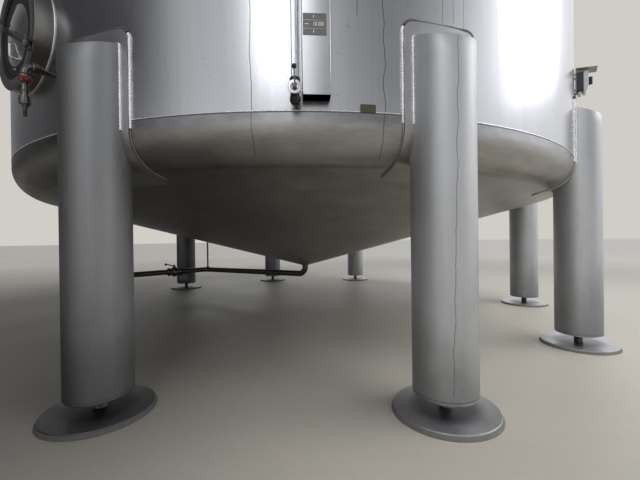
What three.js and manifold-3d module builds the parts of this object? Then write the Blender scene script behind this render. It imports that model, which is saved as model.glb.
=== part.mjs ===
// Vertical storage tank on tubular legs: stainless shell of three courses, toriconical
// bottom and roof, nine legs on weld pads and screwed feet, side manway, level gauge with
// its scale channel, sampling valve, isolator switch and bottom outlet line.
// Millimetres, +Z up, origin on the floor at the tank's axis.
// A fitting is drawn in its own group, turned so that its X axis points out of the shell
// and its Y axis runs to the right along the shell as seen from outside.

import * as THREE from 'three';
import { mergeVertices } from 'three/addons/utils/BufferGeometryUtils.js';
import Module from 'manifold-3d';

const wasm = await Module();
wasm.setup();

// Driving dimensions of the vessel
const SHELL_RADIUS = 2270;
const PLATE = 6;
const SHELL_SIDES = 60;
const SEAM_HEIGHT = 1176;
const COURSE_COUNT = 3;
const COURSE_HEIGHT = 2000;
const FLANGE_LENGTH = 37;
const KNUCKLE_RADIUS = 150;
const KNUCKLE_STEPS = 4;
const CONE_SLOPE = THREE.MathUtils.degToRad(15);
const GAP = 0.3;

// Driving dimensions of the legs
const LEG_PLACES = 10;
const LEG_PHASE = -1.28;
const EMPTY_PLACE = 6;
const LEG_RING_RADIUS = 2279;
const LEG_RADIUS = 127;
const LEG_WALL = 6;
const LEG_SIDES = 20;
const LEG_BOTTOM = 76;
const LEG_TOP_OUTER = 1436;
const LEG_TOP_SLOPE = THREE.MathUtils.degToRad(20.5);
const PAD_THICKNESS = 8;
const PAD_HALF_WIDTH = 165;
const PAD_TOP = 1546;
const PAD_INNER_RADIUS = 2050;
const PAD_CORNER = 45;
const LEG_SOLE_THICKNESS = 16;
const FOOT_SKIRT_RADIUS = 212;
const FOOT_SKIRT_EDGE = 2;
const FOOT_SKIRT_HEIGHT = 15;
const FOOT_PLATE_RADIUS = 204;
const FOOT_PLATE_ROUND = 1.5;
const FOOT_THICKNESS = 20;
const SPINDLE_RADIUS = 25;
const FOOT_SIDES = 20;

// Driving dimensions of the roof fitting
const ROOF_NOZZLE_RADIUS = 84;
const ROOF_NOZZLE_WALL = 4;
const ROOF_NOZZLE_HEIGHT = 150;
const VENT_CAP_RADIUS = 140;
const VENT_CAP_HEIGHT = 90;
const VENT_STANDOFF = 35;

// Driving dimensions of the manway, as distances from the tank's axis or the door's centre
const MANWAY_AZIMUTH = 237.2;
const MANWAY_HEIGHT = 1671;
const NECK_RADIUS = 255;
const NECK_WALL = 5;
const NECK_FACE = 2328;
const SEAT_FACE = 2302.7;
const SEAT_BACK = 2292;
const SEAT_RADIUS = 170;
const RING_RADIUS = 204;
const GASKET_RADIUS = 190;
const GASKET_LEDGE = 8.7;
const GASKET_FRONT = 2322;
const DOOR_RADIUS = 184;
const DOOR_RIM = 6;
const DOOR_SHOULDER = 140;
const DOOR_DISH = 18;
const DOOR_PLATE = 4;
const DISH_STEPS = 4;
const GRIP_LOW = -116;
const GRIP_HIGH = -42;
const GRIP_RADIUS = 4.5;
const GRIP_STANDOFF = 9;
const BAR_TILT = -29;
const BAR_BACK = 2342;
const BAR_DEPTH = 12;
const BAR_WIDTH = 25;
const HINGE_OFFSET = 245;
const PIN_RADIUS = 6;
const EYE_WALL = 5;
const FORK_PLATE = 8;
const FORK_HALF_LENGTH = 17;
const FORK_REACH = 2360;
const CLEARANCE = 5;
const SCREW_RADIUS = 8;
const SCREW_HEAD_RADIUS = 15;
const SCREW_HEAD_DEPTH = 18;
const MANWAY_SIDES = 32;

// Driving dimensions of the level gauge and its scale
const GAUGE_AZIMUTH = 271.89;
const GAUGE_LOW = 1230;
const GAUGE_HIGH = 7020;
const GAUGE_STANDOFF = 52;
const GLASS_RADIUS = 14;
const GLASS_WALL = 2.5;
const COCK_RADIUS = 19;
const COCK_CAP_RADIUS = 25;
const COCK_CAP_FRONT = 90;
const LEVER_LENGTH = 65;
const LEVER_OUT = 8;
const BALL_RADIUS = 9;
const COCK_STUB_RADIUS = 10;
const COCK_SHANK_RADIUS = 14;
const COCK_CAP_DEPTH = 8;
const COCK_HALF_HEIGHT = 47;
const GLASS_END = 20;
const LEVER_BOSS_RADIUS = 9;
const LEVER_BOSS_DEPTH = 12;
const LEVER_ROD_RADIUS = 3;
const SCALE_AZIMUTH = 273.82;
const SCALE_WIDTH = 105;
const SCALE_DEPTH = 58;
const SCALE_PLATE = 3;
const SCALE_LOW = 1216;
const SCALE_HIGH = 7060;
const TAG_AZIMUTH = 278.87;
const TAG_HEIGHT = 1193;
const TAG_SIZE = [3, 61, 31];

// Driving dimensions of the sampling valve
const SAMPLE_AZIMUTH = 245.5;
const SAMPLE_HEIGHT = 1400;
const SAMPLE_REACH = 146;
const SAMPLE_PIPE_RADIUS = 10.5;
const SAMPLE_ELBOW_RADIUS = 15;
const SAMPLE_BEND = 34;
const UNION_START = 82;
const UNION_LENGTH = 16;
const UNION_RADIUS = 17;
const SAMPLE_BALL_START = 102;
const SAMPLE_BALL_LENGTH = 24;
const SAMPLE_BALL_RADIUS = 21;
const SAMPLE_VALVE_TOP = 1364;
const SAMPLE_VALVE_BOTTOM = 1324;
const SAMPLE_VALVE_RADIUS = 20;
const SAMPLE_STEM_RADIUS = 8;
const RED_LEVER = [44, 5, 17];
const RED_LEVER_SHIFT = 7;
const RED_LEVER_HEIGHT = 1336;
const HOSE_NUT_TOP = 1274;
const HOSE_NUT_BOTTOM = 1243;
const HOSE_NUT_RADIUS = 19;
const HOSE_TAIL_BOTTOM = 1196;
const HOSE_TAIL_RADIUS = 12.5;
const HOSE_TIP_RADIUS = 5.5;
const HOSE_TIP_TOP = 1222;
const HOSE_RING_LOW = 1296;
const HOSE_RING_HIGH = 1302;
const HOSE_RING_RADIUS = 15.5;
const VALVE_CHAMFER = 7;
const STEM_RISE = 6;

// Driving dimensions of the isolator switch
const SWITCH_AZIMUTH = -36;
const SWITCH_HEIGHT = 1686;
const SWITCH_WIDTH = 72;
const SWITCH_BASE_DEPTH = 35.5;
const SWITCH_BASE_HEIGHT = 126;
const SWITCH_COVER_DEPTH = 27;
const SWITCH_COVER_TOP = 61;
const SWITCH_COVER_BOTTOM = -73;
const SWITCH_COVER_SLOPE = 40;
const SWITCH_BACK = 10;
const CANOPY_REACH = 112;
const CANOPY_WIDTH = 98;
const CANOPY_RAISE = 22;
const CANOPY_SLOPE = THREE.MathUtils.degToRad(9);
const CANOPY_PLATE = 3;
const CANOPY_BACK_HEIGHT = 186;
const SPACER_PLACES = [36, 50];
const SPACER_RADIUS = 8;
const KNOB_RADIUS = 26;
const KNOB_DEPTH = 12;
const KNOB_RISE = 3;
const GRIP_DEPTH = 9;
const GLAND_RADIUS = 14;
const GLAND_NECK_RADIUS = 11;
const GLAND_END_RADIUS = 8;
const GLAND_NUT_DEPTH = 12;
const GLAND_DEPTH = 28;
const GLAND_SIDE = -14;

// Driving dimensions of the outlet line
const OUTLET_RADIUS = 30;
const OUTLET_WALL = 3;
const OUTLET_HEIGHT = 330;
const OUTLET_BEND = 76;
const OUTLET_CORNER = [-1280, 680];
const OUTLET_END = [-1890, 100];
const OUTLET_VALVE_AT = 0.467;
const OUTLET_VALVE_HALF = 62;
const OUTLET_VALVE_RADIUS = 55;
const BRANCH_BACK = 88;
const BRANCH_DROP = 78;
const BRANCH_REACH = 62;
const BRANCH_RADIUS = 22;
const BRANCH_FERRULE = 50;
const HANGER_RADIUS = 10;
const HANGER_AT = 0.98;
const OUTLET_FLANGE_RADIUS = 47;
const OUTLET_FLANGE_DEPTH = 14;
const OUTLET_NECK_RADIUS = 35;
const OUTLET_SHOULDER = 22;
const OUTLET_NECK_HALF = 26;
const BRANCH_BEND = 30;
const BRANCH_FERRULE_HALF = 12;
const BONNET_RADIUS = 16;
const BONNET_RISE = 9;
const OUTLET_LEVER_LENGTH = 95;
const OUTLET_LEVER_RADIUS = 7;
const OUTLET_LEVER_RISE = 26;
const OUTLET_LEVER_FOOT = 8;
const OUTLET_HUB_RADIUS = 15;
const OUTLET_HUB_HEIGHT = 16;
const OUTLET_KNOB_RADIUS = 14;
const SPOOL_FLANGE_DEPTH = 8;
const FERRULE_RADIUS = 46;
const FERRULE_DEPTH = 6;
const SMALL_SIDES = 12;

const radians = THREE.MathUtils.degToRad;

// Materials
const stainless = new THREE.MeshStandardMaterial({ color: 0x9c9c9e, roughness: 0.32, metalness: 1 });
const polished = new THREE.MeshStandardMaterial({ color: 0xb9b9bc, roughness: 0.12, metalness: 1 });
const blasted = new THREE.MeshStandardMaterial({ color: 0x8b8b8e, roughness: 0.6, metalness: 0.6 });
const footMetal = new THREE.MeshStandardMaterial({ color: 0x6f6f70, roughness: 0.55, metalness: 0.7 });
const darkMetal = new THREE.MeshStandardMaterial({ color: 0x4a4a4c, roughness: 0.4, metalness: 0.9 });
const blackRubber = new THREE.MeshStandardMaterial({ color: 0x141414, roughness: 0.7, metalness: 0 });
const blackPlastic = new THREE.MeshStandardMaterial({ color: 0x101012, roughness: 0.4, metalness: 0 });
const redPlastic = new THREE.MeshStandardMaterial({ color: 0x8e1414, roughness: 0.45, metalness: 0 });
const greyPlastic = new THREE.MeshStandardMaterial({ color: 0xa9aeb0, roughness: 0.5, metalness: 0 });
const slatePlastic = new THREE.MeshStandardMaterial({ color: 0x2c303a, roughness: 0.5, metalness: 0 });
const clearGlass = new THREE.MeshStandardMaterial({ color: 0xe8eef0, roughness: 0.05, metalness: 0 });
const tagMetal = new THREE.MeshStandardMaterial({ color: 0x6d6a58, roughness: 0.5, metalness: 0.6 });

// A closed three.js geometry as a solid, with shared vertices merged and faces pointing out
function solid(geometry) {
  const plain = geometry.clone();
  plain.deleteAttribute('normal');
  plain.deleteAttribute('uv');
  const merged = mergeVertices(plain, 1e-3);
  const position = merged.getAttribute('position').array;
  const index = merged.getIndex().array;
  const corner = (n) => new THREE.Vector3(position[3 * n], position[3 * n + 1], position[3 * n + 2]);
  const kept = [];
  let volume = 0;
  for (let i = 0; i < index.length; i += 3) {
    const [a, b, c] = [index[i], index[i + 1], index[i + 2]];
    if (a !== b && b !== c && c !== a) {
      kept.push(a, b, c);
      volume += corner(a).dot(corner(b).cross(corner(c)));
    }
  }
  const triangles = volume > 0 ? kept : kept.reverse();
  return new wasm.Manifold(new wasm.Mesh({
    numProp: 3,
    vertProperties: new Float32Array(position),
    triVerts: new Uint32Array(triangles),
  }));
}

// A solid as a named mesh
function piece(name, body, material) {
  const mesh = body.getMesh();
  const geometry = new THREE.BufferGeometry();
  geometry.setAttribute('position', new THREE.BufferAttribute(new Float32Array(mesh.vertProperties), 3));
  geometry.setIndex(Array.from(mesh.triVerts));
  geometry.computeVertexNormals();
  const object = new THREE.Mesh(geometry, material);
  object.name = name;
  return object;
}

// A solid of revolution about Z from (radius, height) points, with a corner on the +X axis
function turned(points, sides) {
  const profile = points.map(([radius, height]) => new THREE.Vector2(radius, height));
  return new THREE.LatheGeometry(profile, sides).rotateX(Math.PI / 2).rotateZ(Math.PI / 2);
}

// The same about the X axis, with its centre line at the given height
function turnedAlongX(points, sides, height) {
  return turned(points, sides).rotateY(Math.PI / 2).translate(0, 0, height);
}

// A ring profile that closes on itself
function ringProfile(inner, outer, low, high) {
  return [[inner, low], [outer, low], [outer, high], [inner, high], [inner, low]];
}

// A disc or rod profile that starts and ends on the axis
function rodProfile(radius, low, high) {
  return [[0, low], [radius, low], [radius, high], [0, high]];
}

function box(sizeX, sizeY, sizeZ, x, y, z) {
  return new THREE.BoxGeometry(sizeX, sizeY, sizeZ).translate(x, y, z);
}

// A rectangle with rounded corners at its far side: x from 0 to length, y across the width
function tongueShape(length, halfWidth, corner) {
  const shape = new THREE.Shape();
  shape.moveTo(0, -halfWidth);
  shape.lineTo(length - corner, -halfWidth);
  shape.absarc(length - corner, -halfWidth + corner, corner, -Math.PI / 2, 0, false);
  shape.absarc(length - corner, halfWidth - corner, corner, 0, Math.PI / 2, false);
  shape.lineTo(0, halfWidth);
  shape.closePath();
  return shape;
}

// A regular polygon standing for a circle
function circlePoints(radius, sides) {
  return Array.from({ length: sides }, (_, i) => {
    const angle = (2 * Math.PI * i) / sides;
    return new THREE.Vector2(radius * Math.cos(angle), radius * Math.sin(angle));
  });
}

// A path of straight runs with round bends, sampled at the ends of its runs and along its arcs
class BentPath extends THREE.Curve {
  constructor(corners, bendRadius, arcSteps) {
    super();
    this.stations = [];
    const points = corners.map((corner) => new THREE.Vector3(...corner));
    const last = points.length - 1;
    this.add(points[0], points[1].clone().sub(points[0]));
    for (let i = 1; i < last; i += 1) {
      const before = points[i].clone().sub(points[i - 1]).normalize();
      const after = points[i + 1].clone().sub(points[i]).normalize();
      const turn = before.angleTo(after);
      const setback = bendRadius * Math.tan(turn / 2);
      const inward = after.clone().sub(before.clone().multiplyScalar(before.dot(after))).normalize();
      const start = points[i].clone().addScaledVector(before, -setback);
      const centre = start.clone().addScaledVector(inward, bendRadius);
      for (let k = 0; k <= arcSteps; k += 1) {
        const angle = (turn * k) / arcSteps;
        const [cosine, sine] = [Math.cos(angle), Math.sin(angle)];
        const outward = inward.clone().multiplyScalar(-cosine).addScaledVector(before, sine);
        const tangent = before.clone().multiplyScalar(cosine).addScaledVector(inward, sine);
        this.add(centre.clone().addScaledVector(outward, bendRadius), tangent);
      }
    }
    this.add(points[last], points[last].clone().sub(points[last - 1]));
  }

  add(point, tangent) {
    this.stations.push({ point: point.clone(), tangent: tangent.clone().normalize() });
  }

  get steps() {
    return this.stations.length - 1;
  }

  station(u) {
    return this.stations[Math.round(u * this.steps)];
  }

  getPointAt(u) {
    return this.station(u).point.clone();
  }

  getTangentAt(u) {
    return this.station(u).tangent.clone();
  }
}

// A round bar, or a tube when a bore is given, along a bent path
function pipe(corners, bendRadius, arcSteps, radius, sides, bore) {
  const shape = new THREE.Shape(circlePoints(radius, sides));
  if (bore) shape.holes.push(new THREE.Path(circlePoints(bore, sides).reverse()));
  const path = new BentPath(corners, bendRadius, arcSteps);
  return new THREE.ExtrudeGeometry(shape, { steps: path.steps, bevelEnabled: false, extrudePath: path });
}

// A group turned about Z so that its X axis points out of the shell at the azimuth in degrees
function station(azimuth) {
  const place = new THREE.Group();
  place.rotation.z = radians(azimuth);
  return place;
}

// Outline of the vessel's outer face from the seam down to the given radius, moved out by offset
function endOutline(offset, innerRadius) {
  const kneeHeight = SEAM_HEIGHT - FLANGE_LENGTH;
  const kneeRadius = SHELL_RADIUS - KNUCKLE_RADIUS;
  const bend = KNUCKLE_RADIUS + offset;
  const sweep = Math.PI / 2 - CONE_SLOPE;
  const points = [[SHELL_RADIUS + offset, SEAM_HEIGHT]];
  for (let k = 0; k <= KNUCKLE_STEPS; k += 1) {
    const angle = (sweep * k) / KNUCKLE_STEPS;
    points.push([kneeRadius + bend * Math.cos(angle), kneeHeight - bend * Math.sin(angle)]);
  }
  const [coneRadius, coneHeight] = points[points.length - 1];
  points.push([innerRadius, coneHeight - (coneRadius - innerRadius) * Math.tan(CONE_SLOPE)]);
  return points;
}

// The vessel filled solid and grown by offset, for cutting what stands on it
function vesselCore(offset) {
  const outline = endOutline(offset, 0).reverse();
  const top = SEAM_HEIGHT + COURSE_COUNT * COURSE_HEIGHT;
  return solid(turned([...outline, [SHELL_RADIUS + offset, top], [0, top]], SHELL_SIDES));
}

// The core as it lies in a group turned to the azimuth
function coreAt(azimuth, offset) {
  return vesselCore(offset).rotate([0, 0, LEG_PHASE - azimuth]);
}

const tank = new THREE.Group();
const vessel = station(LEG_PHASE);
tank.add(vessel);

// Shell courses, the first with the manway's hole
const coneTip = endOutline(0, 0).pop()[1];
for (let course = 1; course <= COURSE_COUNT; course += 1) {
  const low = SEAM_HEIGHT + (course - 1) * COURSE_HEIGHT;
  const ring = ringProfile(SHELL_RADIUS - PLATE, SHELL_RADIUS, low, low + COURSE_HEIGHT - GAP);
  let body = solid(turned(ring, SHELL_SIDES));
  if (course === 1) {
    const hole = solid(turnedAlongX(
      rodProfile(NECK_RADIUS + GAP, SHELL_RADIUS / 2, NECK_FACE),
      MANWAY_SIDES,
      MANWAY_HEIGHT,
    ));
    body = body.subtract(hole.rotate([0, 0, MANWAY_AZIMUTH - LEG_PHASE]));
  }
  vessel.add(piece(`shell_course_${course}`, body, stainless));
}

// Bottom end with its outlet hole, and the roof as the same form turned over
function endShell(holeRadius) {
  const outside = endOutline(0, holeRadius);
  const inside = endOutline(-PLATE, holeRadius).reverse();
  const outline = [...outside, ...inside, outside[0]];
  const trimmed = outline.map(([radius, height]) => [radius, Math.min(height, SEAM_HEIGHT - GAP)]);
  return turned(trimmed, SHELL_SIDES);
}

const roofHeight = 2 * SEAM_HEIGHT + COURSE_COUNT * COURSE_HEIGHT;
vessel.add(piece('bottom_end', solid(endShell(OUTLET_RADIUS - OUTLET_WALL)), stainless));
const roof = solid(endShell(ROOF_NOZZLE_RADIUS + GAP)).mirror([0, 0, 1]).translate([0, 0, roofHeight]);
vessel.add(piece('roof_end', roof, stainless));

// Roof nozzle with a vent cap held above it on a spigot
const roofTip = roofHeight - coneTip;
const nozzleTop = roofTip + ROOF_NOZZLE_HEIGHT;
const nozzleFoot = roofTip - ROOF_NOZZLE_RADIUS * Math.tan(CONE_SLOPE) - PLATE;
const nozzleBore = ROOF_NOZZLE_RADIUS - ROOF_NOZZLE_WALL;
const nozzleRing = ringProfile(nozzleBore, ROOF_NOZZLE_RADIUS, nozzleFoot, nozzleTop);
vessel.add(piece('roof_nozzle', solid(turned(nozzleRing, FOOT_SIDES)), stainless));
const capLow = nozzleTop - VENT_CAP_HEIGHT + VENT_STANDOFF;
const vent = solid(turned([
  [ROOF_NOZZLE_RADIUS - ROOF_NOZZLE_WALL - GAP, nozzleTop - VENT_STANDOFF],
  [ROOF_NOZZLE_RADIUS - ROOF_NOZZLE_WALL - GAP, nozzleTop + GAP],
  [VENT_CAP_RADIUS - PLATE, nozzleTop + GAP],
  [VENT_CAP_RADIUS - PLATE, capLow],
  [VENT_CAP_RADIUS, capLow],
  [VENT_CAP_RADIUS, nozzleTop + VENT_STANDOFF / 2],
  [0, nozzleTop + VENT_STANDOFF],
  [0, nozzleTop + GAP + PLATE],
  [ROOF_NOZZLE_RADIUS - 2 * ROOF_NOZZLE_WALL, nozzleTop + GAP + PLATE],
  [ROOF_NOZZLE_RADIUS - 2 * ROOF_NOZZLE_WALL, nozzleTop - VENT_STANDOFF],
  [ROOF_NOZZLE_RADIUS - ROOF_NOZZLE_WALL - GAP, nozzleTop - VENT_STANDOFF],
], FOOT_SIDES));
vessel.add(piece('vent_cap', vent, stainless));

// Weld pad: a skin over shell, knuckle and cone, with round corners at its top and inner end
function weldPad() {
  const skin = vesselCore(GAP + PAD_THICKNESS).subtract(vesselCore(GAP));
  const reach = LEG_RING_RADIUS + LEG_RADIUS;
  const front = new THREE.ExtrudeGeometry(tongueShape(PAD_TOP, PAD_HALF_WIDTH, PAD_CORNER), {
    depth: reach,
    bevelEnabled: false,
    curveSegments: 4,
  });
  front.applyMatrix4(new THREE.Matrix4().makeBasis(
    new THREE.Vector3(0, 0, 1),
    new THREE.Vector3(0, 1, 0),
    new THREE.Vector3(-1, 0, 0),
  ));
  front.translate(reach, 0, 0);
  const plan = new THREE.ExtrudeGeometry(tongueShape(reach - PAD_INNER_RADIUS, PAD_HALF_WIDTH, PAD_CORNER), {
    depth: PAD_TOP,
    bevelEnabled: false,
    curveSegments: 4,
  });
  plan.rotateZ(Math.PI).translate(reach, 0, 0);
  return skin.intersect(solid(front)).intersect(solid(plan));
}

// Leg: a tube coped on to its pad, with a sole plate below and a sloping cap above
function legTube() {
  const tall = LEG_TOP_OUTER + 2 * LEG_RADIUS;
  const outer = solid(turned([
    [0, LEG_BOTTOM],
    [LEG_RADIUS, LEG_BOTTOM],
    [LEG_RADIUS, tall],
    [0, tall],
  ], LEG_SIDES));
  const boreFoot = LEG_BOTTOM + LEG_SOLE_THICKNESS + LEG_WALL;
  const bore = solid(turned(rodProfile(LEG_RADIUS - LEG_WALL, boreFoot, tall), LEG_SIDES));
  const above = (drop) => solid(box(6 * LEG_RADIUS, 6 * LEG_RADIUS, tall, 0, 0, tall / 2)
    .rotateY(LEG_TOP_SLOPE)
    .translate(LEG_RADIUS, 0, LEG_TOP_OUTER - drop));
  const tube = outer.subtract(above(0)).subtract(bore.subtract(above(LEG_WALL)));
  return tube.translate([LEG_RING_RADIUS, 0, 0]).subtract(vesselCore(2 * GAP + PAD_THICKNESS));
}

// Foot: a round plate in a flared bed, with the spindle that carries the leg
const footProfile = [
  [0, 0],
  [FOOT_SKIRT_RADIUS, 0],
  [FOOT_SKIRT_RADIUS, FOOT_SKIRT_EDGE],
  [FOOT_PLATE_RADIUS, FOOT_SKIRT_HEIGHT],
  [FOOT_PLATE_RADIUS, FOOT_THICKNESS - FOOT_PLATE_ROUND],
  [FOOT_PLATE_RADIUS - FOOT_PLATE_ROUND, FOOT_THICKNESS],
  [SPINDLE_RADIUS, FOOT_THICKNESS],
  [SPINDLE_RADIUS, LEG_BOTTOM - GAP],
  [0, LEG_BOTTOM - GAP],
];

const padBody = weldPad();
const legBody = legTube();
const footBody = solid(turned(footProfile, FOOT_SIDES)).translate([LEG_RING_RADIUS, 0, 0]);
let legNumber = 0;
for (let place = 0; place < LEG_PLACES; place += 1) {
  if (place !== EMPTY_PLACE) {
    legNumber += 1;
    const bay = station(LEG_PHASE + (360 * place) / LEG_PLACES);
    bay.add(piece(`leg_${legNumber}`, legBody, blasted));
    bay.add(piece(`leg_pad_${legNumber}`, padBody, stainless));
    bay.add(piece(`foot_${legNumber}`, footBody, footMetal));
    tank.add(bay);
  }
}

// Manway: neck with its seat ring and forks, gasket, domed door, slanting bar and its screw
const manway = station(MANWAY_AZIMUTH);
manway.position.z = MANWAY_HEIGHT;
tank.add(manway);
const aboutDoor = (points, sides = MANWAY_SIDES) => solid(turnedAlongX(points, sides, 0));
const slant = (body) => body.rotate([BAR_TILT, 0, 0]);
const barMiddle = BAR_BACK + BAR_DEPTH / 2;
const barHalf = BAR_WIDTH / 2;
const forkTop = barHalf + CLEARANCE + FORK_PLATE;

const neckTube = aboutDoor([
  [NECK_RADIUS - NECK_WALL, SHELL_RADIUS / 2],
  [NECK_RADIUS, SHELL_RADIUS / 2],
  [NECK_RADIUS, NECK_FACE],
  [RING_RADIUS, NECK_FACE],
  [RING_RADIUS, SEAT_FACE],
  [SEAT_RADIUS, SEAT_FACE],
  [SEAT_RADIUS, SEAT_BACK],
  [NECK_RADIUS - NECK_WALL, SEAT_BACK],
  [NECK_RADIUS - NECK_WALL, SHELL_RADIUS / 2],
]).subtract(coreAt(MANWAY_AZIMUTH, -2 * PLATE).translate([0, 0, -MANWAY_HEIGHT]));
const forkPlate = (along, across) => solid(box(
  FORK_REACH - NECK_FACE + 1,
  2 * FORK_HALF_LENGTH,
  FORK_PLATE,
  (FORK_REACH + NECK_FACE - 1) / 2,
  along,
  across,
));
let forks = solid(turned(rodProfile(PIN_RADIUS, -forkTop, forkTop), SMALL_SIDES)
  .translate(barMiddle, HINGE_OFFSET, 0));
for (const along of [-HINGE_OFFSET, HINGE_OFFSET]) {
  for (const across of [-forkTop + FORK_PLATE / 2, forkTop - FORK_PLATE / 2]) {
    forks = forks.add(forkPlate(along, across));
  }
}
manway.add(piece('manway_neck', neckTube.add(slant(forks)), polished));

const seatStart = SEAT_FACE + GAP;
const ledgeFront = seatStart + GASKET_LEDGE;
const gasket = aboutDoor([
  [SEAT_RADIUS + 1, seatStart],
  [RING_RADIUS - GAP, seatStart],
  [RING_RADIUS - GAP, GASKET_FRONT],
  [GASKET_RADIUS, GASKET_FRONT],
  [GASKET_RADIUS, ledgeFront],
  [SEAT_RADIUS + 1, ledgeFront],
  [SEAT_RADIUS + 1, seatStart],
]);
manway.add(piece('manway_gasket', gasket, blackRubber));

const doorBack = ledgeFront + GAP;
const doorFront = doorBack + DOOR_RIM;
const crown = doorFront + DOOR_DISH;
function dishPoints(radius, foot) {
  return Array.from({ length: DISH_STEPS + 1 }, (_, k) => {
    const share = k / DISH_STEPS;
    return [radius * share, foot + DOOR_DISH * Math.cos((Math.PI / 2) * share)];
  });
}
const doorDisc = aboutDoor([
  ...dishPoints(DOOR_SHOULDER - DOOR_PLATE, doorFront - DOOR_PLATE),
  [DOOR_SHOULDER - DOOR_PLATE, doorBack],
  [DOOR_RADIUS, doorBack],
  [DOOR_RADIUS, doorFront],
  ...dishPoints(DOOR_SHOULDER, doorFront).reverse(),
]);
const gripFront = crown + GRIP_STANDOFF;
const postProfile = rodProfile(GRIP_RADIUS - 1, doorFront, gripFront);
const gripPost = (height) => solid(turnedAlongX(postProfile, 8, height));
const grip = solid(turned(rodProfile(GRIP_RADIUS, GRIP_LOW, GRIP_HIGH), 8).translate(gripFront, 0, 0))
  .add(gripPost(GRIP_LOW + GRIP_RADIUS))
  .add(gripPost(GRIP_HIGH - GRIP_RADIUS));
const doorRoom = aboutDoor([
  ...dishPoints(DOOR_SHOULDER - DOOR_PLATE, doorFront - DOOR_PLATE),
  [DOOR_SHOULDER - DOOR_PLATE, SEAT_BACK],
  [0, SEAT_BACK],
]);
manway.add(piece('manway_door', doorDisc.add(grip.subtract(doorRoom)), polished));

const barBody = solid(box(BAR_DEPTH, 2 * HINGE_OFFSET + BAR_DEPTH, BAR_WIDTH, barMiddle, 0, 0));
const eye = solid(turned(rodProfile(PIN_RADIUS + EYE_WALL, -barHalf, barHalf), 16)
  .translate(barMiddle, HINGE_OFFSET, 0));
const pinBore = solid(turned(rodProfile(PIN_RADIUS + GAP, -forkTop, forkTop), SMALL_SIDES)
  .translate(barMiddle, HINGE_OFFSET, 0));
const screwBore = aboutDoor(rodProfile(SCREW_RADIUS + GAP, NECK_FACE, FORK_REACH), SMALL_SIDES);
const bar = slant(barBody.add(eye).subtract(pinBore)).subtract(screwBore);
manway.add(piece('manway_crossbar', bar, darkMetal));

const headBack = BAR_BACK + BAR_DEPTH + GAP;
const screw = aboutDoor([
  [0, crown + GAP],
  [SCREW_RADIUS, crown + GAP],
  [SCREW_RADIUS, headBack],
  [SCREW_HEAD_RADIUS, headBack],
  [SCREW_HEAD_RADIUS, headBack + SCREW_HEAD_DEPTH],
  [0, headBack + SCREW_HEAD_DEPTH],
], 6);
manway.add(piece('manway_hand_screw', screw, darkMetal));

// Level gauge: a cock at each end of the glass, the lower one with a quarter-turn ball lever
const gauge = station(GAUGE_AZIMUTH);
tank.add(gauge);
const gaugeX = SHELL_RADIUS + GAUGE_STANDOFF;
const capBack = SHELL_RADIUS + COCK_CAP_FRONT - COCK_CAP_DEPTH;

function cock(height, towards) {
  const stubBack = SHELL_RADIUS - 2 * COCK_STUB_RADIUS;
  const stub = solid(turnedAlongX(rodProfile(COCK_STUB_RADIUS, stubBack, gaugeX), SMALL_SIDES, height));
  const barrelProfile = rodProfile(COCK_RADIUS, -COCK_HALF_HEIGHT, COCK_HALF_HEIGHT);
  const barrel = solid(turned(barrelProfile, SMALL_SIDES).translate(gaugeX, 0, height));
  const cap = solid(turnedAlongX([
    [0, SHELL_RADIUS + GAUGE_STANDOFF / 2],
    [COCK_SHANK_RADIUS, SHELL_RADIUS + GAUGE_STANDOFF / 2],
    [COCK_SHANK_RADIUS, capBack],
    [COCK_CAP_RADIUS, capBack],
    [COCK_CAP_RADIUS, capBack + COCK_CAP_DEPTH],
    [0, capBack + COCK_CAP_DEPTH],
  ], SMALL_SIDES + 4, height));
  const wellFoot = towards > 0 ? GLASS_END : -GLASS_END - COCK_HALF_HEIGHT;
  const well = solid(turned(rodProfile(GLASS_RADIUS + GAP, 0, COCK_HALF_HEIGHT), SMALL_SIDES)
    .translate(gaugeX, 0, height + wellFoot));
  return stub.add(barrel).add(cap).subtract(well).subtract(coreAt(GAUGE_AZIMUTH, GAP));
}
gauge.add(piece('gauge_lower_cock', cock(GAUGE_LOW, 1), stainless));
gauge.add(piece('gauge_upper_cock', cock(GAUGE_HIGH, -1), stainless));
const glassLow = GAUGE_LOW + GLASS_END + GAP;
const glassHigh = GAUGE_HIGH - GLASS_END - GAP;
const glass = ringProfile(GLASS_RADIUS - GLASS_WALL, GLASS_RADIUS, glassLow, glassHigh);
gauge.add(piece('gauge_glass', solid(turned(glass, SMALL_SIDES).translate(gaugeX, 0, 0)), clearGlass));

const leverX = SHELL_RADIUS + COCK_CAP_FRONT + GAP;
const bossProfile = rodProfile(LEVER_BOSS_RADIUS, leverX, leverX + LEVER_BOSS_DEPTH);
const leverBoss = solid(turnedAlongX(bossProfile, SMALL_SIDES, GAUGE_LOW));
const leverRod = solid(turned(rodProfile(LEVER_ROD_RADIUS, 0, LEVER_LENGTH), 8)
  .translate(leverX + LEVER_OUT, 0, GAUGE_LOW));
const leverBall = solid(new THREE.SphereGeometry(BALL_RADIUS, 8, 6)
  .translate(leverX + LEVER_OUT, 0, GAUGE_LOW + LEVER_LENGTH));
gauge.add(piece('gauge_cock_lever', leverBoss.add(leverRod).add(leverBall), blackPlastic));

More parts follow.
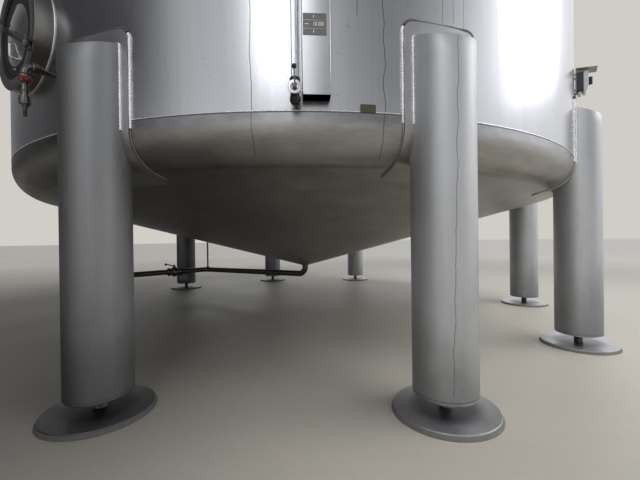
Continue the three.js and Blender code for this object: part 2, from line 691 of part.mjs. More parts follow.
// Scale channel beside the glass, its legs against the shell
const scale = station(SCALE_AZIMUTH);
tank.add(scale);
const scaleLength = SCALE_HIGH - SCALE_LOW;
const scaleMiddle = (SCALE_HIGH + SCALE_LOW) / 2;
const channelDepth = 2 * SCALE_DEPTH;
const channelOuter = solid(box(channelDepth, SCALE_WIDTH, scaleLength, SHELL_RADIUS, 0, scaleMiddle));
const channelRoom = solid(box(
  channelDepth,
  SCALE_WIDTH - 2 * SCALE_PLATE,
  scaleLength + 2,
  SHELL_RADIUS - SCALE_PLATE,
  0,
  scaleMiddle,
));
const channel = channelOuter.subtract(channelRoom).subtract(coreAt(SCALE_AZIMUTH, GAP));
scale.add(piece('scale_channel', channel, stainless));

// Small tag plate above the seam
const tagPlace = station(TAG_AZIMUTH);
tank.add(tagPlace);
const [tagDepth, tagWidth, tagTall] = TAG_SIZE;
const tag = solid(box(2 * tagDepth, tagWidth, tagTall, SHELL_RADIUS, 0, TAG_HEIGHT))
  .subtract(coreAt(TAG_AZIMUTH, GAP));
tagPlace.add(piece('tag_plate', tag, tagMetal));

// Sampling valve: pipe from the shell, union, elbow, ball valve with a red lever and a hose tail
const sample = station(SAMPLE_AZIMUTH);
tank.add(sample);
const sampleX = SHELL_RADIUS + SAMPLE_REACH;
const samplePart = (radius, from, length) => solid(turnedAlongX(
  rodProfile(radius, SHELL_RADIUS + from, SHELL_RADIUS + from + length),
  SMALL_SIDES,
  SAMPLE_HEIGHT,
));
const elbow = solid(pipe(
  [
    [SHELL_RADIUS + SAMPLE_BALL_START, 0, SAMPLE_HEIGHT],
    [sampleX, 0, SAMPLE_HEIGHT],
    [sampleX, 0, SAMPLE_VALVE_TOP + GAP],
  ],
  SAMPLE_BEND,
  5,
  SAMPLE_ELBOW_RADIUS,
  SMALL_SIDES,
));
const samplePipe = samplePart(SAMPLE_PIPE_RADIUS, -PLATE, SAMPLE_BALL_START + PLATE)
  .subtract(coreAt(SAMPLE_AZIMUTH, GAP))
  .add(samplePart(UNION_RADIUS, UNION_START, UNION_LENGTH))
  .add(samplePart(SAMPLE_BALL_RADIUS, SAMPLE_BALL_START, SAMPLE_BALL_LENGTH))
  .add(elbow);
sample.add(piece('sample_pipe', samplePipe, stainless));
const valveBody = solid(turned([
  [0, HOSE_TAIL_BOTTOM],
  [HOSE_TIP_RADIUS - 1, HOSE_TAIL_BOTTOM],
  [HOSE_TIP_RADIUS, HOSE_TIP_TOP],
  [SAMPLE_ELBOW_RADIUS, HOSE_NUT_BOTTOM],
  [HOSE_NUT_RADIUS, HOSE_NUT_BOTTOM],
  [HOSE_NUT_RADIUS, HOSE_NUT_TOP],
  [HOSE_TAIL_RADIUS, HOSE_NUT_TOP],
  [HOSE_TAIL_RADIUS, HOSE_RING_LOW],
  [HOSE_RING_RADIUS, HOSE_RING_LOW],
  [HOSE_RING_RADIUS, HOSE_RING_HIGH],
  [HOSE_TAIL_RADIUS, HOSE_RING_HIGH],
  [HOSE_TAIL_RADIUS, SAMPLE_VALVE_BOTTOM],
  [SAMPLE_VALVE_RADIUS, SAMPLE_VALVE_BOTTOM + VALVE_CHAMFER],
  [SAMPLE_VALVE_RADIUS, SAMPLE_VALVE_TOP - VALVE_CHAMFER],
  [SAMPLE_ELBOW_RADIUS, SAMPLE_VALVE_TOP],
  [0, SAMPLE_VALVE_TOP],
], SMALL_SIDES).translate(sampleX, 0, 0));
const stemTop = SAMPLE_VALVE_RADIUS + STEM_RISE;
const valveStem = solid(turned(rodProfile(SAMPLE_STEM_RADIUS, 0, stemTop), SMALL_SIDES)
  .rotateX(-Math.PI / 2)
  .translate(sampleX, 0, RED_LEVER_HEIGHT));
sample.add(piece('sample_valve', valveBody.add(valveStem), stainless));
const [redLength, redDepth, redTall] = RED_LEVER;
const redLever = solid(box(
  redLength,
  redDepth,
  redTall,
  sampleX + RED_LEVER_SHIFT,
  stemTop + GAP + redDepth / 2,
  RED_LEVER_HEIGHT,
));
sample.add(piece('sample_valve_lever', redLever, redPlastic));

// Isolator switch under its bent canopy plate
const switchPlace = station(SWITCH_AZIMUTH);
tank.add(switchPlace);
const plateX = SHELL_RADIUS + SWITCH_BACK;
const canopyTop = SWITCH_HEIGHT + SWITCH_BASE_HEIGHT / 2 + CANOPY_PLATE + CANOPY_RAISE;
const backPlate = solid(box(
  CANOPY_PLATE,
  CANOPY_WIDTH,
  CANOPY_BACK_HEIGHT,
  plateX - CANOPY_PLATE / 2 - GAP,
  0,
  canopyTop - CANOPY_BACK_HEIGHT / 2,
));
const canopySheet = box(CANOPY_REACH, CANOPY_WIDTH, CANOPY_PLATE, CANOPY_REACH / 2, 0, -CANOPY_PLATE / 2);
const canopyPlate = solid(canopySheet
  .rotateY(CANOPY_SLOPE)
  .translate(plateX - CANOPY_PLATE - GAP, 0, canopyTop));
const [spacerSide, spacerRise] = SPACER_PLACES;
const spacerProfile = rodProfile(SPACER_RADIUS, SHELL_RADIUS - PLATE, plateX - 1);
const spacer = solid(turnedAlongX(spacerProfile, 8, SWITCH_HEIGHT));
let canopy = backPlate.add(canopyPlate);
for (const y of [-spacerSide, spacerSide]) {
  for (const z of [-spacerRise, spacerRise]) {
    canopy = canopy.add(spacer.translate([0, y, z]));
  }
}
switchPlace.add(piece('isolator_canopy', canopy.subtract(coreAt(SWITCH_AZIMUTH, GAP)), stainless));

const baseFront = plateX + SWITCH_BASE_DEPTH;
const base = solid(box(
  SWITCH_BASE_DEPTH,
  SWITCH_WIDTH - 4,
  SWITCH_BASE_HEIGHT,
  (plateX + baseFront) / 2,
  0,
  SWITCH_HEIGHT,
));
const gland = solid(turned([
  [0, -GLAND_DEPTH],
  [GLAND_END_RADIUS, -GLAND_DEPTH],
  [GLAND_NECK_RADIUS, -GLAND_DEPTH / 2],
  [GLAND_RADIUS, -GLAND_NUT_DEPTH],
  [GLAND_RADIUS, GLAND_NUT_DEPTH / 3],
  [0, GLAND_NUT_DEPTH / 3],
], SMALL_SIDES).translate(
  plateX + SWITCH_BASE_DEPTH / 2,
  GLAND_SIDE,
  SWITCH_HEIGHT - SWITCH_BASE_HEIGHT / 2,
));
switchPlace.add(piece('isolator_base', base.add(gland), slatePlastic));

const coverBack = baseFront + GAP;
const coverShape = new THREE.Shape();
coverShape.moveTo(0, SWITCH_COVER_TOP);
coverShape.lineTo(0, SWITCH_COVER_BOTTOM);
coverShape.lineTo(SWITCH_COVER_DEPTH / 2, SWITCH_COVER_BOTTOM);
coverShape.lineTo(SWITCH_COVER_DEPTH, SWITCH_COVER_BOTTOM + SWITCH_COVER_SLOPE);
coverShape.lineTo(SWITCH_COVER_DEPTH, SWITCH_COVER_TOP);
coverShape.closePath();
const cover = new THREE.ExtrudeGeometry(coverShape, { depth: SWITCH_WIDTH, bevelEnabled: false });
cover.rotateX(Math.PI / 2).translate(coverBack, SWITCH_WIDTH / 2, SWITCH_HEIGHT);
switchPlace.add(piece('isolator_cover', solid(cover), greyPlastic));

const knobBack = coverBack + SWITCH_COVER_DEPTH + GAP;
const knobHeight = SWITCH_HEIGHT + KNOB_RISE;
const knobProfile = rodProfile(KNOB_RADIUS, knobBack, knobBack + KNOB_DEPTH);
const knobDisc = solid(turnedAlongX(knobProfile, 20, knobHeight));
const knobGrip = solid(box(
  GRIP_DEPTH + 2,
  GRIP_DEPTH,
  2 * KNOB_RADIUS - 6,
  knobBack + KNOB_DEPTH + GRIP_DEPTH / 2 - 1,
  0,
  knobHeight,
));
switchPlace.add(piece('isolator_knob', knobDisc.add(knobGrip), blackPlastic));

// Outlet line: elbow under the cone, run to a bend, valve, and a short spool with its ferrule
const corner = new THREE.Vector3(...OUTLET_CORNER, OUTLET_HEIGHT);
const lineEnd = new THREE.Vector3(...OUTLET_END, OUTLET_HEIGHT);
const run = lineEnd.clone().sub(corner);
const runLength = run.length();
const runDirection = run.clone().normalize();
const runAngle = Math.atan2(runDirection.y, runDirection.x);
const valveCentre = corner.clone().addScaledVector(run, OUTLET_VALVE_AT);
const valveStart = valveCentre.clone().addScaledVector(runDirection, -OUTLET_VALVE_HALF - GAP);
const outletPipe = solid(pipe(
  [[0, 0, coneTip + OUTLET_WALL], [0, 0, OUTLET_HEIGHT], corner.toArray(), valveStart.toArray()],
  OUTLET_BEND,
  4,
  OUTLET_RADIUS,
  SMALL_SIDES,
  OUTLET_RADIUS - OUTLET_WALL,
)).subtract(vesselCore(GAP).rotate([0, 0, LEG_PHASE]));

// Drain branch below the run, turned to the side and closed by a clamped ferrule
const branchPipe = solid(pipe(
  [
    [-BRANCH_BACK, 0, -OUTLET_RADIUS + OUTLET_WALL / 2],
    [-BRANCH_BACK, 0, -BRANCH_DROP],
    [-BRANCH_BACK, BRANCH_REACH, -BRANCH_DROP],
  ],
  BRANCH_BEND,
  3,
  BRANCH_RADIUS,
  SMALL_SIDES,
));
const branchFerrule = solid(turnedAlongX(
  rodProfile(BRANCH_FERRULE, BRANCH_REACH - BRANCH_FERRULE_HALF, BRANCH_REACH + BRANCH_FERRULE_HALF),
  SMALL_SIDES + 4,
  -BRANCH_DROP,
).rotateZ(Math.PI / 2).translate(-BRANCH_BACK, 0, 0));
const branch = branchPipe.add(branchFerrule)
  .rotate([0, 0, THREE.MathUtils.radToDeg(runAngle)])
  .translate(valveCentre.toArray());
tank.add(piece('outlet_pipe', outletPipe.add(branch), stainless));

// Hanger: a rod from the cone to a saddle on the pipe just before its bend
const hangerPoint = corner.clone().multiplyScalar(HANGER_AT);
const hangerProfile = rodProfile(HANGER_RADIUS, OUTLET_HEIGHT + OUTLET_RADIUS + GAP, SEAM_HEIGHT);
const hanger = solid(turned(hangerProfile, 10).translate(hangerPoint.x, hangerPoint.y, 0))
  .subtract(vesselCore(GAP).rotate([0, 0, LEG_PHASE]));
tank.add(piece('outlet_hanger', hanger, stainless));

// Pieces of the valve are drawn along X about the valve's centre, then turned into the run
const valvePlace = new THREE.Group();
valvePlace.position.copy(valveCentre);
valvePlace.rotation.z = runAngle;
tank.add(valvePlace);
const outletBore = OUTLET_RADIUS - OUTLET_WALL;
const bodyProfile = [
  [outletBore, -OUTLET_VALVE_HALF],
  [OUTLET_FLANGE_RADIUS, -OUTLET_VALVE_HALF],
  [OUTLET_FLANGE_RADIUS, -OUTLET_VALVE_HALF + OUTLET_FLANGE_DEPTH],
  [OUTLET_NECK_RADIUS, -OUTLET_VALVE_HALF + OUTLET_SHOULDER],
  [OUTLET_NECK_RADIUS, -OUTLET_NECK_HALF],
  [OUTLET_VALVE_RADIUS, -OUTLET_SHOULDER],
  [OUTLET_VALVE_RADIUS, OUTLET_SHOULDER],
  [OUTLET_NECK_RADIUS, OUTLET_NECK_HALF],
  [OUTLET_NECK_RADIUS, OUTLET_VALVE_HALF - OUTLET_SHOULDER],
  [OUTLET_FLANGE_RADIUS, OUTLET_VALVE_HALF - OUTLET_FLANGE_DEPTH],
  [OUTLET_FLANGE_RADIUS, OUTLET_VALVE_HALF],
  [outletBore, OUTLET_VALVE_HALF],
  [outletBore, -OUTLET_VALVE_HALF],
];
const valveShell = solid(turnedAlongX(bodyProfile, SMALL_SIDES, 0));
const bonnetTop = OUTLET_VALVE_RADIUS + BONNET_RISE;
const bonnetProfile = rodProfile(BONNET_RADIUS, OUTLET_VALVE_RADIUS - OUTLET_WALL * 4, bonnetTop);
const bonnet = solid(turned(bonnetProfile, SMALL_SIDES));
valvePlace.add(piece('outlet_valve', valveShell.add(bonnet), darkMetal));

const leverFoot = bonnetTop + GAP;
const leverArm = pipe(
  [[0, 0, leverFoot + OUTLET_LEVER_FOOT], [OUTLET_LEVER_LENGTH, 0, leverFoot + OUTLET_LEVER_RISE]],
  1,
  1,
  OUTLET_LEVER_RADIUS,
  8,
);
const hubProfile = rodProfile(OUTLET_HUB_RADIUS, leverFoot, leverFoot + OUTLET_HUB_HEIGHT);
const leverHub = solid(turned(hubProfile, SMALL_SIDES));
const leverKnob = solid(new THREE.SphereGeometry(OUTLET_KNOB_RADIUS, 8, 6)
  .translate(OUTLET_LEVER_LENGTH, 0, leverFoot + OUTLET_LEVER_RISE));
valvePlace.add(piece('outlet_valve_lever', leverHub.add(solid(leverArm)).add(leverKnob), blackPlastic));

const spoolStart = OUTLET_VALVE_HALF + GAP;
const spoolEnd = runLength * (1 - OUTLET_VALVE_AT);
const spool = solid(turnedAlongX([
  [outletBore, spoolStart],
  [OUTLET_FLANGE_RADIUS, spoolStart],
  [OUTLET_FLANGE_RADIUS, spoolStart + SPOOL_FLANGE_DEPTH],
  [OUTLET_RADIUS, spoolStart + OUTLET_FLANGE_DEPTH],
  [OUTLET_RADIUS, spoolEnd - 2 * FERRULE_DEPTH],
  [FERRULE_RADIUS, spoolEnd - FERRULE_DEPTH],
  [FERRULE_RADIUS, spoolEnd],
  [outletBore, spoolEnd],
  [outletBore, spoolStart],
], SMALL_SIDES, 0));
valvePlace.add(piece('outlet_spool', spool, stainless));

export default tank;
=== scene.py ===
"""Dressed pieces of a stainless storage tank on tubular legs, with its floor, light and camera.

Metres, +Z up, origin on the floor at the tank's axis. A fitting is drawn with X pointing out of
the shell and Y to the right as seen from outside, and is then turned to its azimuth.
"""

import math

import bmesh
import bpy
import numpy as np
from mathutils import Matrix


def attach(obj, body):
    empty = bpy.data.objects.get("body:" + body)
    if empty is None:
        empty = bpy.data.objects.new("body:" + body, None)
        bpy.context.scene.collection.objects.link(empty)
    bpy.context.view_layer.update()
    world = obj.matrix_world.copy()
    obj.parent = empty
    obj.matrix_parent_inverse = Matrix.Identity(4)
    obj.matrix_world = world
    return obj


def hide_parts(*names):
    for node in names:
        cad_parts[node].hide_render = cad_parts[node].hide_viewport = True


bl_info = {
    "name": "Vertical Storage Tank",
    "version": (1, 0, 0),
    "blender": (4, 5, 0),
    "location": "3D View > Sidebar > Tank",
    "description": "Builds the dressed pieces of a stainless storage tank on tubular legs",
    "category": "Object",
}

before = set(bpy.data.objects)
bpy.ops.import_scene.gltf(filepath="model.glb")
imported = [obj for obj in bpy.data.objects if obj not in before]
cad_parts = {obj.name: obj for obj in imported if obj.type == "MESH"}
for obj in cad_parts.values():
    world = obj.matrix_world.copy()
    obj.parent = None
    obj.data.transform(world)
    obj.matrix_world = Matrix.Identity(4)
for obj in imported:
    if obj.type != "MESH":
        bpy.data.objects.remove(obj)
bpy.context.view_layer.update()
MM = 0.001
TAU = 2 * math.pi

# Clear distance between neighbouring solids, and steps round the shell
GAP = 0.0003
AROUND = 240
# Places on the ring of legs, counted from the first leg, and the one without a leg
LEG_PLACES = 10
EMPTY_PLACE = 6
# The photo's camera over the floor: place across and along, tilt up and roll in radians
CAMERA_X, CAMERA_Y, CAMERA_TILT, CAMERA_ROLL = 0.160, -3.520, -0.0035, 0.0121


# ---- Settings ----


def length(label, text, millimetres):
    return bpy.props.FloatProperty(
        name=label, description=text, default=millimetres * MM, unit="LENGTH", precision=4
    )


def angle(label, text, degrees):
    return bpy.props.FloatProperty(
        name=label, description=text, default=math.radians(degrees), subtype="ANGLE"
    )


def colour(label, text, value):
    return bpy.props.FloatVectorProperty(
        name=label, description=text, default=value, subtype="COLOR", size=3, min=0, max=1
    )


def number(label, text, value):
    return bpy.props.FloatProperty(name=label, description=text, default=value)


class TankVesselSettings(bpy.types.PropertyGroup):
    radius: length("Shell radius", "Outside radius of the shell", 2270)
    plate: length("Plate", "Thickness of shell and ends", 6)
    seam: length("Seam height", "Height of the seam between shell and bottom end", 1176)
    course: length("Course height", "Height of one shell course", 2000)
    flange: length("Flange", "Straight part of an end below its seam", 37)
    knuckle: length("Knuckle radius", "Outside radius of the bend between flange and cone", 150)
    slope: angle("Cone slope", "Slope of the cone of both ends", 15)
    seam_bead: length("Seam bead", "Width of the flat bead along a shell seam", 5)


class TankLegSettings(bpy.types.PropertyGroup):
    phase: angle("First leg", "Azimuth of the first of the ten leg places", -1.28)
    ring: length("Leg ring", "Radius of the ring that the legs stand on", 2279)
    radius: length("Leg radius", "Outside radius of a leg tube", 127)
    bottom: length("Leg bottom", "Height of the leg's sole", 76)
    top: length("Leg top", "Height of the leg's cap at its outermost point", 1436)
    cap_slope: angle("Cap slope", "Slope of the cap towards the shell", 20.5)
    pad_half: length("Pad half width", "Half the width of a weld pad", 165)
    pad_top: length("Pad top", "Height of a weld pad's upper edge", 1546)
    pad_inner: length("Pad inner radius", "Radius at which a pad ends under the cone", 2050)
    pad_plate: length("Pad plate", "Thickness of a weld pad", 8)
    bead: length("Weld radius", "Radius of the weld beads round pads and legs", 6)


class TankManwaySettings(bpy.types.PropertyGroup):
    azimuth: angle("Azimuth", "Azimuth of the manway", 237.2)
    height: length("Height", "Height of the manway's centre", 1671)
    neck: length("Neck radius", "Outside radius of the neck", 255)
    face: length("Neck face", "Distance of the neck's face from the tank's axis", 2328)
    tilt: angle("Bar tilt", "Slope of the crossbar, its right end lower", -29)


class TankGaugeSettings(bpy.types.PropertyGroup):
    azimuth: angle("Gauge azimuth", "Azimuth of the level glass", 271.89)
    low: length("Lower cock", "Height of the lower cock", 1230)
    high: length("Upper cock", "Height of the upper cock", 7020)
    standoff: length("Stand-off", "Distance of the glass from the shell", 52)
    scale_azimuth: angle("Scale azimuth", "Azimuth of the scale channel", 273.82)
    scale_width: length("Scale width", "Width of the scale channel", 105)
    scale_depth: length("Scale depth", "Distance of the channel's face from the shell", 58)
    tag_azimuth: angle("Tag azimuth", "Azimuth of the small plate above the seam", 278.87)


class TankFittingSettings(bpy.types.PropertyGroup):
    sample_azimuth: angle("Sampling azimuth", "Azimuth of the sampling valve", 245.5)
    sample_height: length("Sampling height", "Height of the sampling pipe", 1400)
    switch_azimuth: angle("Switch azimuth", "Azimuth of the isolator switch", -36)
    canopy_slope: angle("Canopy slope", "Fall of the isolator's canopy away from the shell", 9)
    switch_height: length("Switch height", "Height of the isolator's middle", 1686)


class TankOutletSettings(bpy.types.PropertyGroup):
    radius: length("Pipe radius", "Outside radius of the outlet pipe", 30)
    height: length("Pipe height", "Height of the outlet line's axis", 330)
    bend: length("Bend radius", "Radius of the pipe's bends at its axis", 76)


class TankFinishSettings(bpy.types.PropertyGroup):
    shell: colour("Shell", "Rolled stainless sheet", (0.53, 0.54, 0.575))
    ends: colour("Ends", "Pickled stainless plate", (0.455, 0.44, 0.42))
    legs: colour("Legs", "Blasted stainless tube", (0.50, 0.51, 0.53))
    feet: colour("Feet", "Foot plates", (0.37, 0.378, 0.40))
    polished: colour("Polished", "Polished stainless", (0.72, 0.72, 0.74))
    # Painted shade: the neck's stainless is darkened to stand for the dark surroundings it reflects
    neck: colour("Neck", "Brushed stainless of the manway neck", (0.19, 0.187, 0.183))
    # Painted shade: the valve's stainless is darkened to stand for the dark surroundings it
    # reflects
    satin: colour("Satin", "Darkened stainless of the sampling valve", (0.15, 0.145, 0.135))
    pipe: colour("Pipe", "Stained stainless of the outlet line", (0.12, 0.11, 0.095))
    label: colour("Label", "Plates on the scale channel", (0.15, 0.15, 0.155))
    weld: colour("Weld", "Ground and pickled weld metal", (0.97, 0.97, 0.98))
    dark: colour("Dark metal", "Bars, bolts and valve bodies", (0.16, 0.16, 0.165))
    black: colour("Black", "Rubber and black plastic", (0.012, 0.012, 0.013))
    red: colour("Red", "Sleeve of the sampling lever", (0.24, 0.012, 0.012))
    slate: colour("Slate", "Base of the isolator", (0.016, 0.019, 0.031))
    grey: colour("Grey", "Cover of the isolator", (0.60, 0.645, 0.67))
    tag: colour("Tag", "Small plates", (0.11, 0.105, 0.075))


class TankStageSettings(bpy.types.PropertyGroup):
    floor: colour("Floor", "Plain studio floor", (0.48, 0.455, 0.405))
    backdrop: colour("Backdrop", "Plain surroundings seen by the camera", (0.63, 0.61, 0.57))
    ceiling: number("Ceiling", "Brightness of the room straight above", 0.30)
    room: number("Room", "Strength of the room's light", 1.0)
    lens: number("Lens", "Focal length on a 36 mm sensor", 18.736)
    camera_height: length("Camera height", "Height of the lens over the floor", 697)


# ---- Shapes: a shape is (points, list of face arrays, one material mark for each face array) ----


def grid_faces(rows, columns, wrap_rows=False, wrap_columns=False):
    """Quads between neighbours on a grid. They face outwards where the rows run up and the
    columns run counter-clockwise."""
    row = np.arange(rows if wrap_rows else rows - 1)
    column = np.arange(columns if wrap_columns else columns - 1)
    r, c = (a.ravel() for a in np.meshgrid(row, column, indexing="ij"))
    up, on = (r + 1) % rows, (c + 1) % columns
    return np.stack([r * columns + c, r * columns + on, up * columns + on, up * columns + c], 1)


def grid(points, wrap_rows=False, wrap_columns=False, mark=0):
    """A shape from an array of points with one row of points after another."""
    rows, columns = points.shape[:2]
    faces = grid_faces(rows, columns, wrap_rows, wrap_columns)
    return points.reshape(-1, 3), [faces], [mark]


def joined(*shapes):
    points, faces, marks, start = [], [], [], 0
    for own_points, own_faces, own_marks in shapes:
        points.append(own_points)
        faces += [face + start for face in own_faces]
        marks += own_marks
        start += len(own_points)
    return np.concatenate(points), faces, marks


def marked(shape, mark):
    return shape[0], shape[1], [mark] * len(shape[1])


def turned(shape, axis, degrees):
    matrix = np.array(Matrix.Rotation(math.radians(degrees), 3, axis))
    return shape[0] @ matrix.T, shape[1], shape[2]


def shifted(shape, x=0.0, y=0.0, z=0.0):
    return shape[0] + np.array([x, y, z]), shape[1], shape[2]


def scaled(shape, factors):
    return shape[0] * factors, shape[1], shape[2]


def stationed(shape, azimuth, height=0.0):
    """A fitting turned about the tank's axis to its azimuth in radians, and lifted."""
    return shifted(turned(shape, "Z", math.degrees(azimuth)), z=height)


def outward(shape):
    """A shape turned about Z, laid so that this axis points out of the shell."""
    return shape[0][:, [2, 0, 1]], shape[1], shape[2]


def crosswise(shape):
    """A plate laid on its edge, so that its Z axis points along -Y."""
    return shape[0][:, [0, 2, 1]] * [1, -1, 1], shape[1], shape[2]


def unit(vectors):
    vectors = np.asarray(vectors, float)
    return vectors / np.maximum(np.linalg.norm(vectors, axis=-1, keepdims=True), 1e-12)


def soften(corners, size, steps=3, closed=True):
    """Corners rounded off: between A and B, a size away on both edges of a corner C, the point
    is A(1-s)^2 + 2Cs(1-s) + Bs^2. An open outline keeps its two ends."""
    c = np.asarray(corners, float)
    back, on = np.roll(c, 1, 0) - c, np.roll(c, -1, 0) - c
    reach = np.minimum(np.linalg.norm(back, axis=1), np.linalg.norm(on, axis=1)) * 0.45
    cut = np.minimum(np.broadcast_to(np.asarray(size, float), reach.shape), reach)[:, None]
    a, b = (c + unit(back) * cut)[:, None], (c + unit(on) * cut)[:, None]
    s = np.linspace(0, 1, steps + 1)[None, :, None]
    curve = a * (1 - s) ** 2 + 2 * c[:, None] * s * (1 - s) + b * s**2
    if closed:
        return curve.reshape(-1, c.shape[1])
    return np.concatenate([c[:1], curve[1:-1].reshape(-1, c.shape[1]), c[-1:]])


def revolve(profile, steps=48, closed=False, mark=0):
    """A profile of (radius, height) carried round Z: x = r cos t, y = r sin t, z = h."""
    profile = np.asarray(profile, float)
    t = np.linspace(0, TAU, steps, endpoint=False)
    r, h = profile[:, 0, None], profile[:, 1, None]
    points = np.stack([r * np.cos(t), r * np.sin(t), np.broadcast_to(h, (len(h), steps))], 2)
    return grid(points, closed, True, mark)


def spun(corners, edge, fine, steps, closed=False, mark=0):
    """A solid turned about Z from corners of (radius, height), which are softened first."""
    return revolve(soften(corners, edge, fine, closed), steps, closed, mark)


def rod(radius, low, high, edge=0.001, steps=24, mark=0):
    """A round bar about Z with softened edges, closed at both ends on its axis."""
    return spun([(0, low), (radius, low), (radius, high), (0, high)], edge, 2, steps, mark=mark)


def ball(radius, height, mark=0):
    t = np.linspace(-math.pi / 2, math.pi / 2, 17)
    return revolve(np.stack([radius * np.cos(t), height + radius * np.sin(t)], 1), 28, mark=mark)


def threaded(z, start, radius, depth, pitch, steps, mark=0):
    """A threaded rod with the radius R + d cos(2 pi (z - start) / pitch) at the height z."""
    thread = np.stack([radius + depth * np.cos(TAU * (z - start) / pitch), z], 1)
    return revolve(np.concatenate([[[0, z[0]]], thread, [[0, z[-1]]]]), steps, mark=mark)


def sheet(x, y, z):
    """Points of a grid from coordinates that are repeated over its rows or columns."""
    return np.stack(np.broadcast_arrays(x, y, z), 2)


def slab(outline, levels, mark=0):
    """A closed counter-clockwise outline carried through levels of (inset, height), each point
    moved in along the outline's normal, and shut by a flat face at both ends."""
    o = np.asarray(outline, float)
    edge = np.roll(o, -1, 0) - np.roll(o, 1, 0)
    normal = unit(np.stack([edge[:, 1], -edge[:, 0]], 1))
    inset = np.array([level[0] for level in levels])[:, None, None]
    height = np.array([level[1] for level in levels])[:, None, None]
    flat = o[None] - normal[None] * inset
    points = np.concatenate([flat, np.broadcast_to(height, (len(levels), len(o), 1))], 2)
    shape, faces, _ = grid(points, False, True)
    ends = [np.arange(len(o))[::-1][None], (np.arange(len(o)) + (len(levels) - 1) * len(o))[None]]
    return shape, faces + ends, [mark] * 3


def plate(outline, low, high, edge=0.0006, mark=0):
    levels = [(edge, low), (0, low + edge), (0, high - edge), (edge, high)]
    return slab(outline, levels, mark)


def rectangle(width, tall, corner, steps=4):
    """A rectangle about the origin with rounded corners, counter-clockwise."""
    w, h = width / 2, tall / 2
    return soften([(-w, -h), (w, -h), (w, h), (-w, h)], corner, steps)


def resampled(path, step):
    """Points at even distances along a path."""
    path = np.asarray(path, float)
    along = np.concatenate([[0], np.cumsum(np.linalg.norm(np.diff(path, axis=0), axis=1))])
    s = np.linspace(0, along[-1], max(2, int(round(along[-1] / step)) + 1))
    return np.stack([np.interp(s, along, path[:, k]) for k in range(3)], 1), s


def bent(corners, radius, steps=10):
    """Straight runs joined by round bends: on a bend the point is the bend's centre plus the
    radius times (t sin a - n cos a), with t along the run before it and n towards the centre."""
    corners = np.asarray(corners, float)
    parts = [corners[:1]]
    for before, corner, after in zip(corners, corners[1:], corners[2:]):
        t, u = unit(corner - before), unit(after - corner)
        turn = math.acos(float(np.clip(t @ u, -1, 1)))
        n = unit(u - t * (t @ u))
        centre = corner - t * radius * math.tan(turn / 2) + n * radius
        a = np.linspace(0, turn, steps + 1)[:, None]
        parts.append(centre + radius * (t * np.sin(a) - n * np.cos(a)))
    parts.append(corners[-1:])
    return np.concatenate(parts)


def sweep(path, radius, sides=16, up=(0, 0, 1), loop=False, mark=0):
    """A round section carried along a path: the point is P + r(n cos a + b sin a), where n is
    the up direction made square to the path and b is square to both."""
    path = np.asarray(path, float)
    if loop:
        tangent = unit(np.roll(path, -1, 0) - np.roll(path, 1, 0))
    else:
        tangent = unit(np.gradient(path, axis=0))
    up = np.broadcast_to(np.asarray(up, float), path.shape)
    n = unit(up - tangent * (tangent * up).sum(1, keepdims=True))
    b = np.cross(tangent, n)
    a = np.linspace(0, TAU, sides, endpoint=False)[None, :, None]
    r = np.broadcast_to(np.asarray(radius, float), (len(path),))[:, None, None]
    points = path[:, None] + r * (n[:, None] * np.cos(a) + b[:, None] * np.sin(a))
    if not loop:
        ends = [np.broadcast_to(path[k], (1, sides, 3)) for k in (0, -1)]
        points = np.concatenate([ends[0], points, ends[1]])
    return grid(points, loop, True, mark)


def bead(path, radius, up, seed=0.0, pitch=0.0085, loop=False, sides=8, mark=0, swell=0.13):
    """A weld bead: a round section whose radius swells once every pitch and wanders a little."""
    points, s = resampled(path, min(pitch / 3, 0.004))
    if loop:
        points, s = points[:-1], s[:-1]
    swell = 1 + swell * np.sin(TAU * s / pitch + 0.9 * np.sin(31 * s + seed))
    wander = 0.09 * np.sin(23 * s + 2 * seed) + 0.07 * np.sin(71 * s + 5 * seed)
    up = np.asarray(up, float)
    if up.ndim > 1:
        up = up[: len(points)]
    return sweep(points, radius * (swell + wander), sides, up, loop, mark=mark)


def lettering(text, size, extrude):
    """Plain figures of a size centred on the origin, as a thin solid's triangles."""
    curve = bpy.data.curves.new("figures", "FONT")
    curve.body, curve.size, curve.extrude, curve.resolution_u = text, size, extrude, 2
    curve.align_x = curve.align_y = "CENTER"
    carrier = bpy.data.objects.new("figures", curve)
    bpy.context.scene.collection.objects.link(carrier)
    bpy.context.view_layer.update()
    mesh = bpy.data.meshes.new_from_object(carrier)
    mesh.calc_loop_triangles()
    points = np.empty(3 * len(mesh.vertices))
    corners = np.empty(3 * len(mesh.loop_triangles), np.int32)
    mesh.vertices.foreach_get("co", points)
    mesh.loop_triangles.foreach_get("vertices", corners)
    bpy.data.objects.remove(carrier)
    bpy.data.curves.remove(curve)
    bpy.data.meshes.remove(mesh)
    return points.reshape(-1, 3), [corners.reshape(-1, 3)], [0]


# ---- Pieces ----


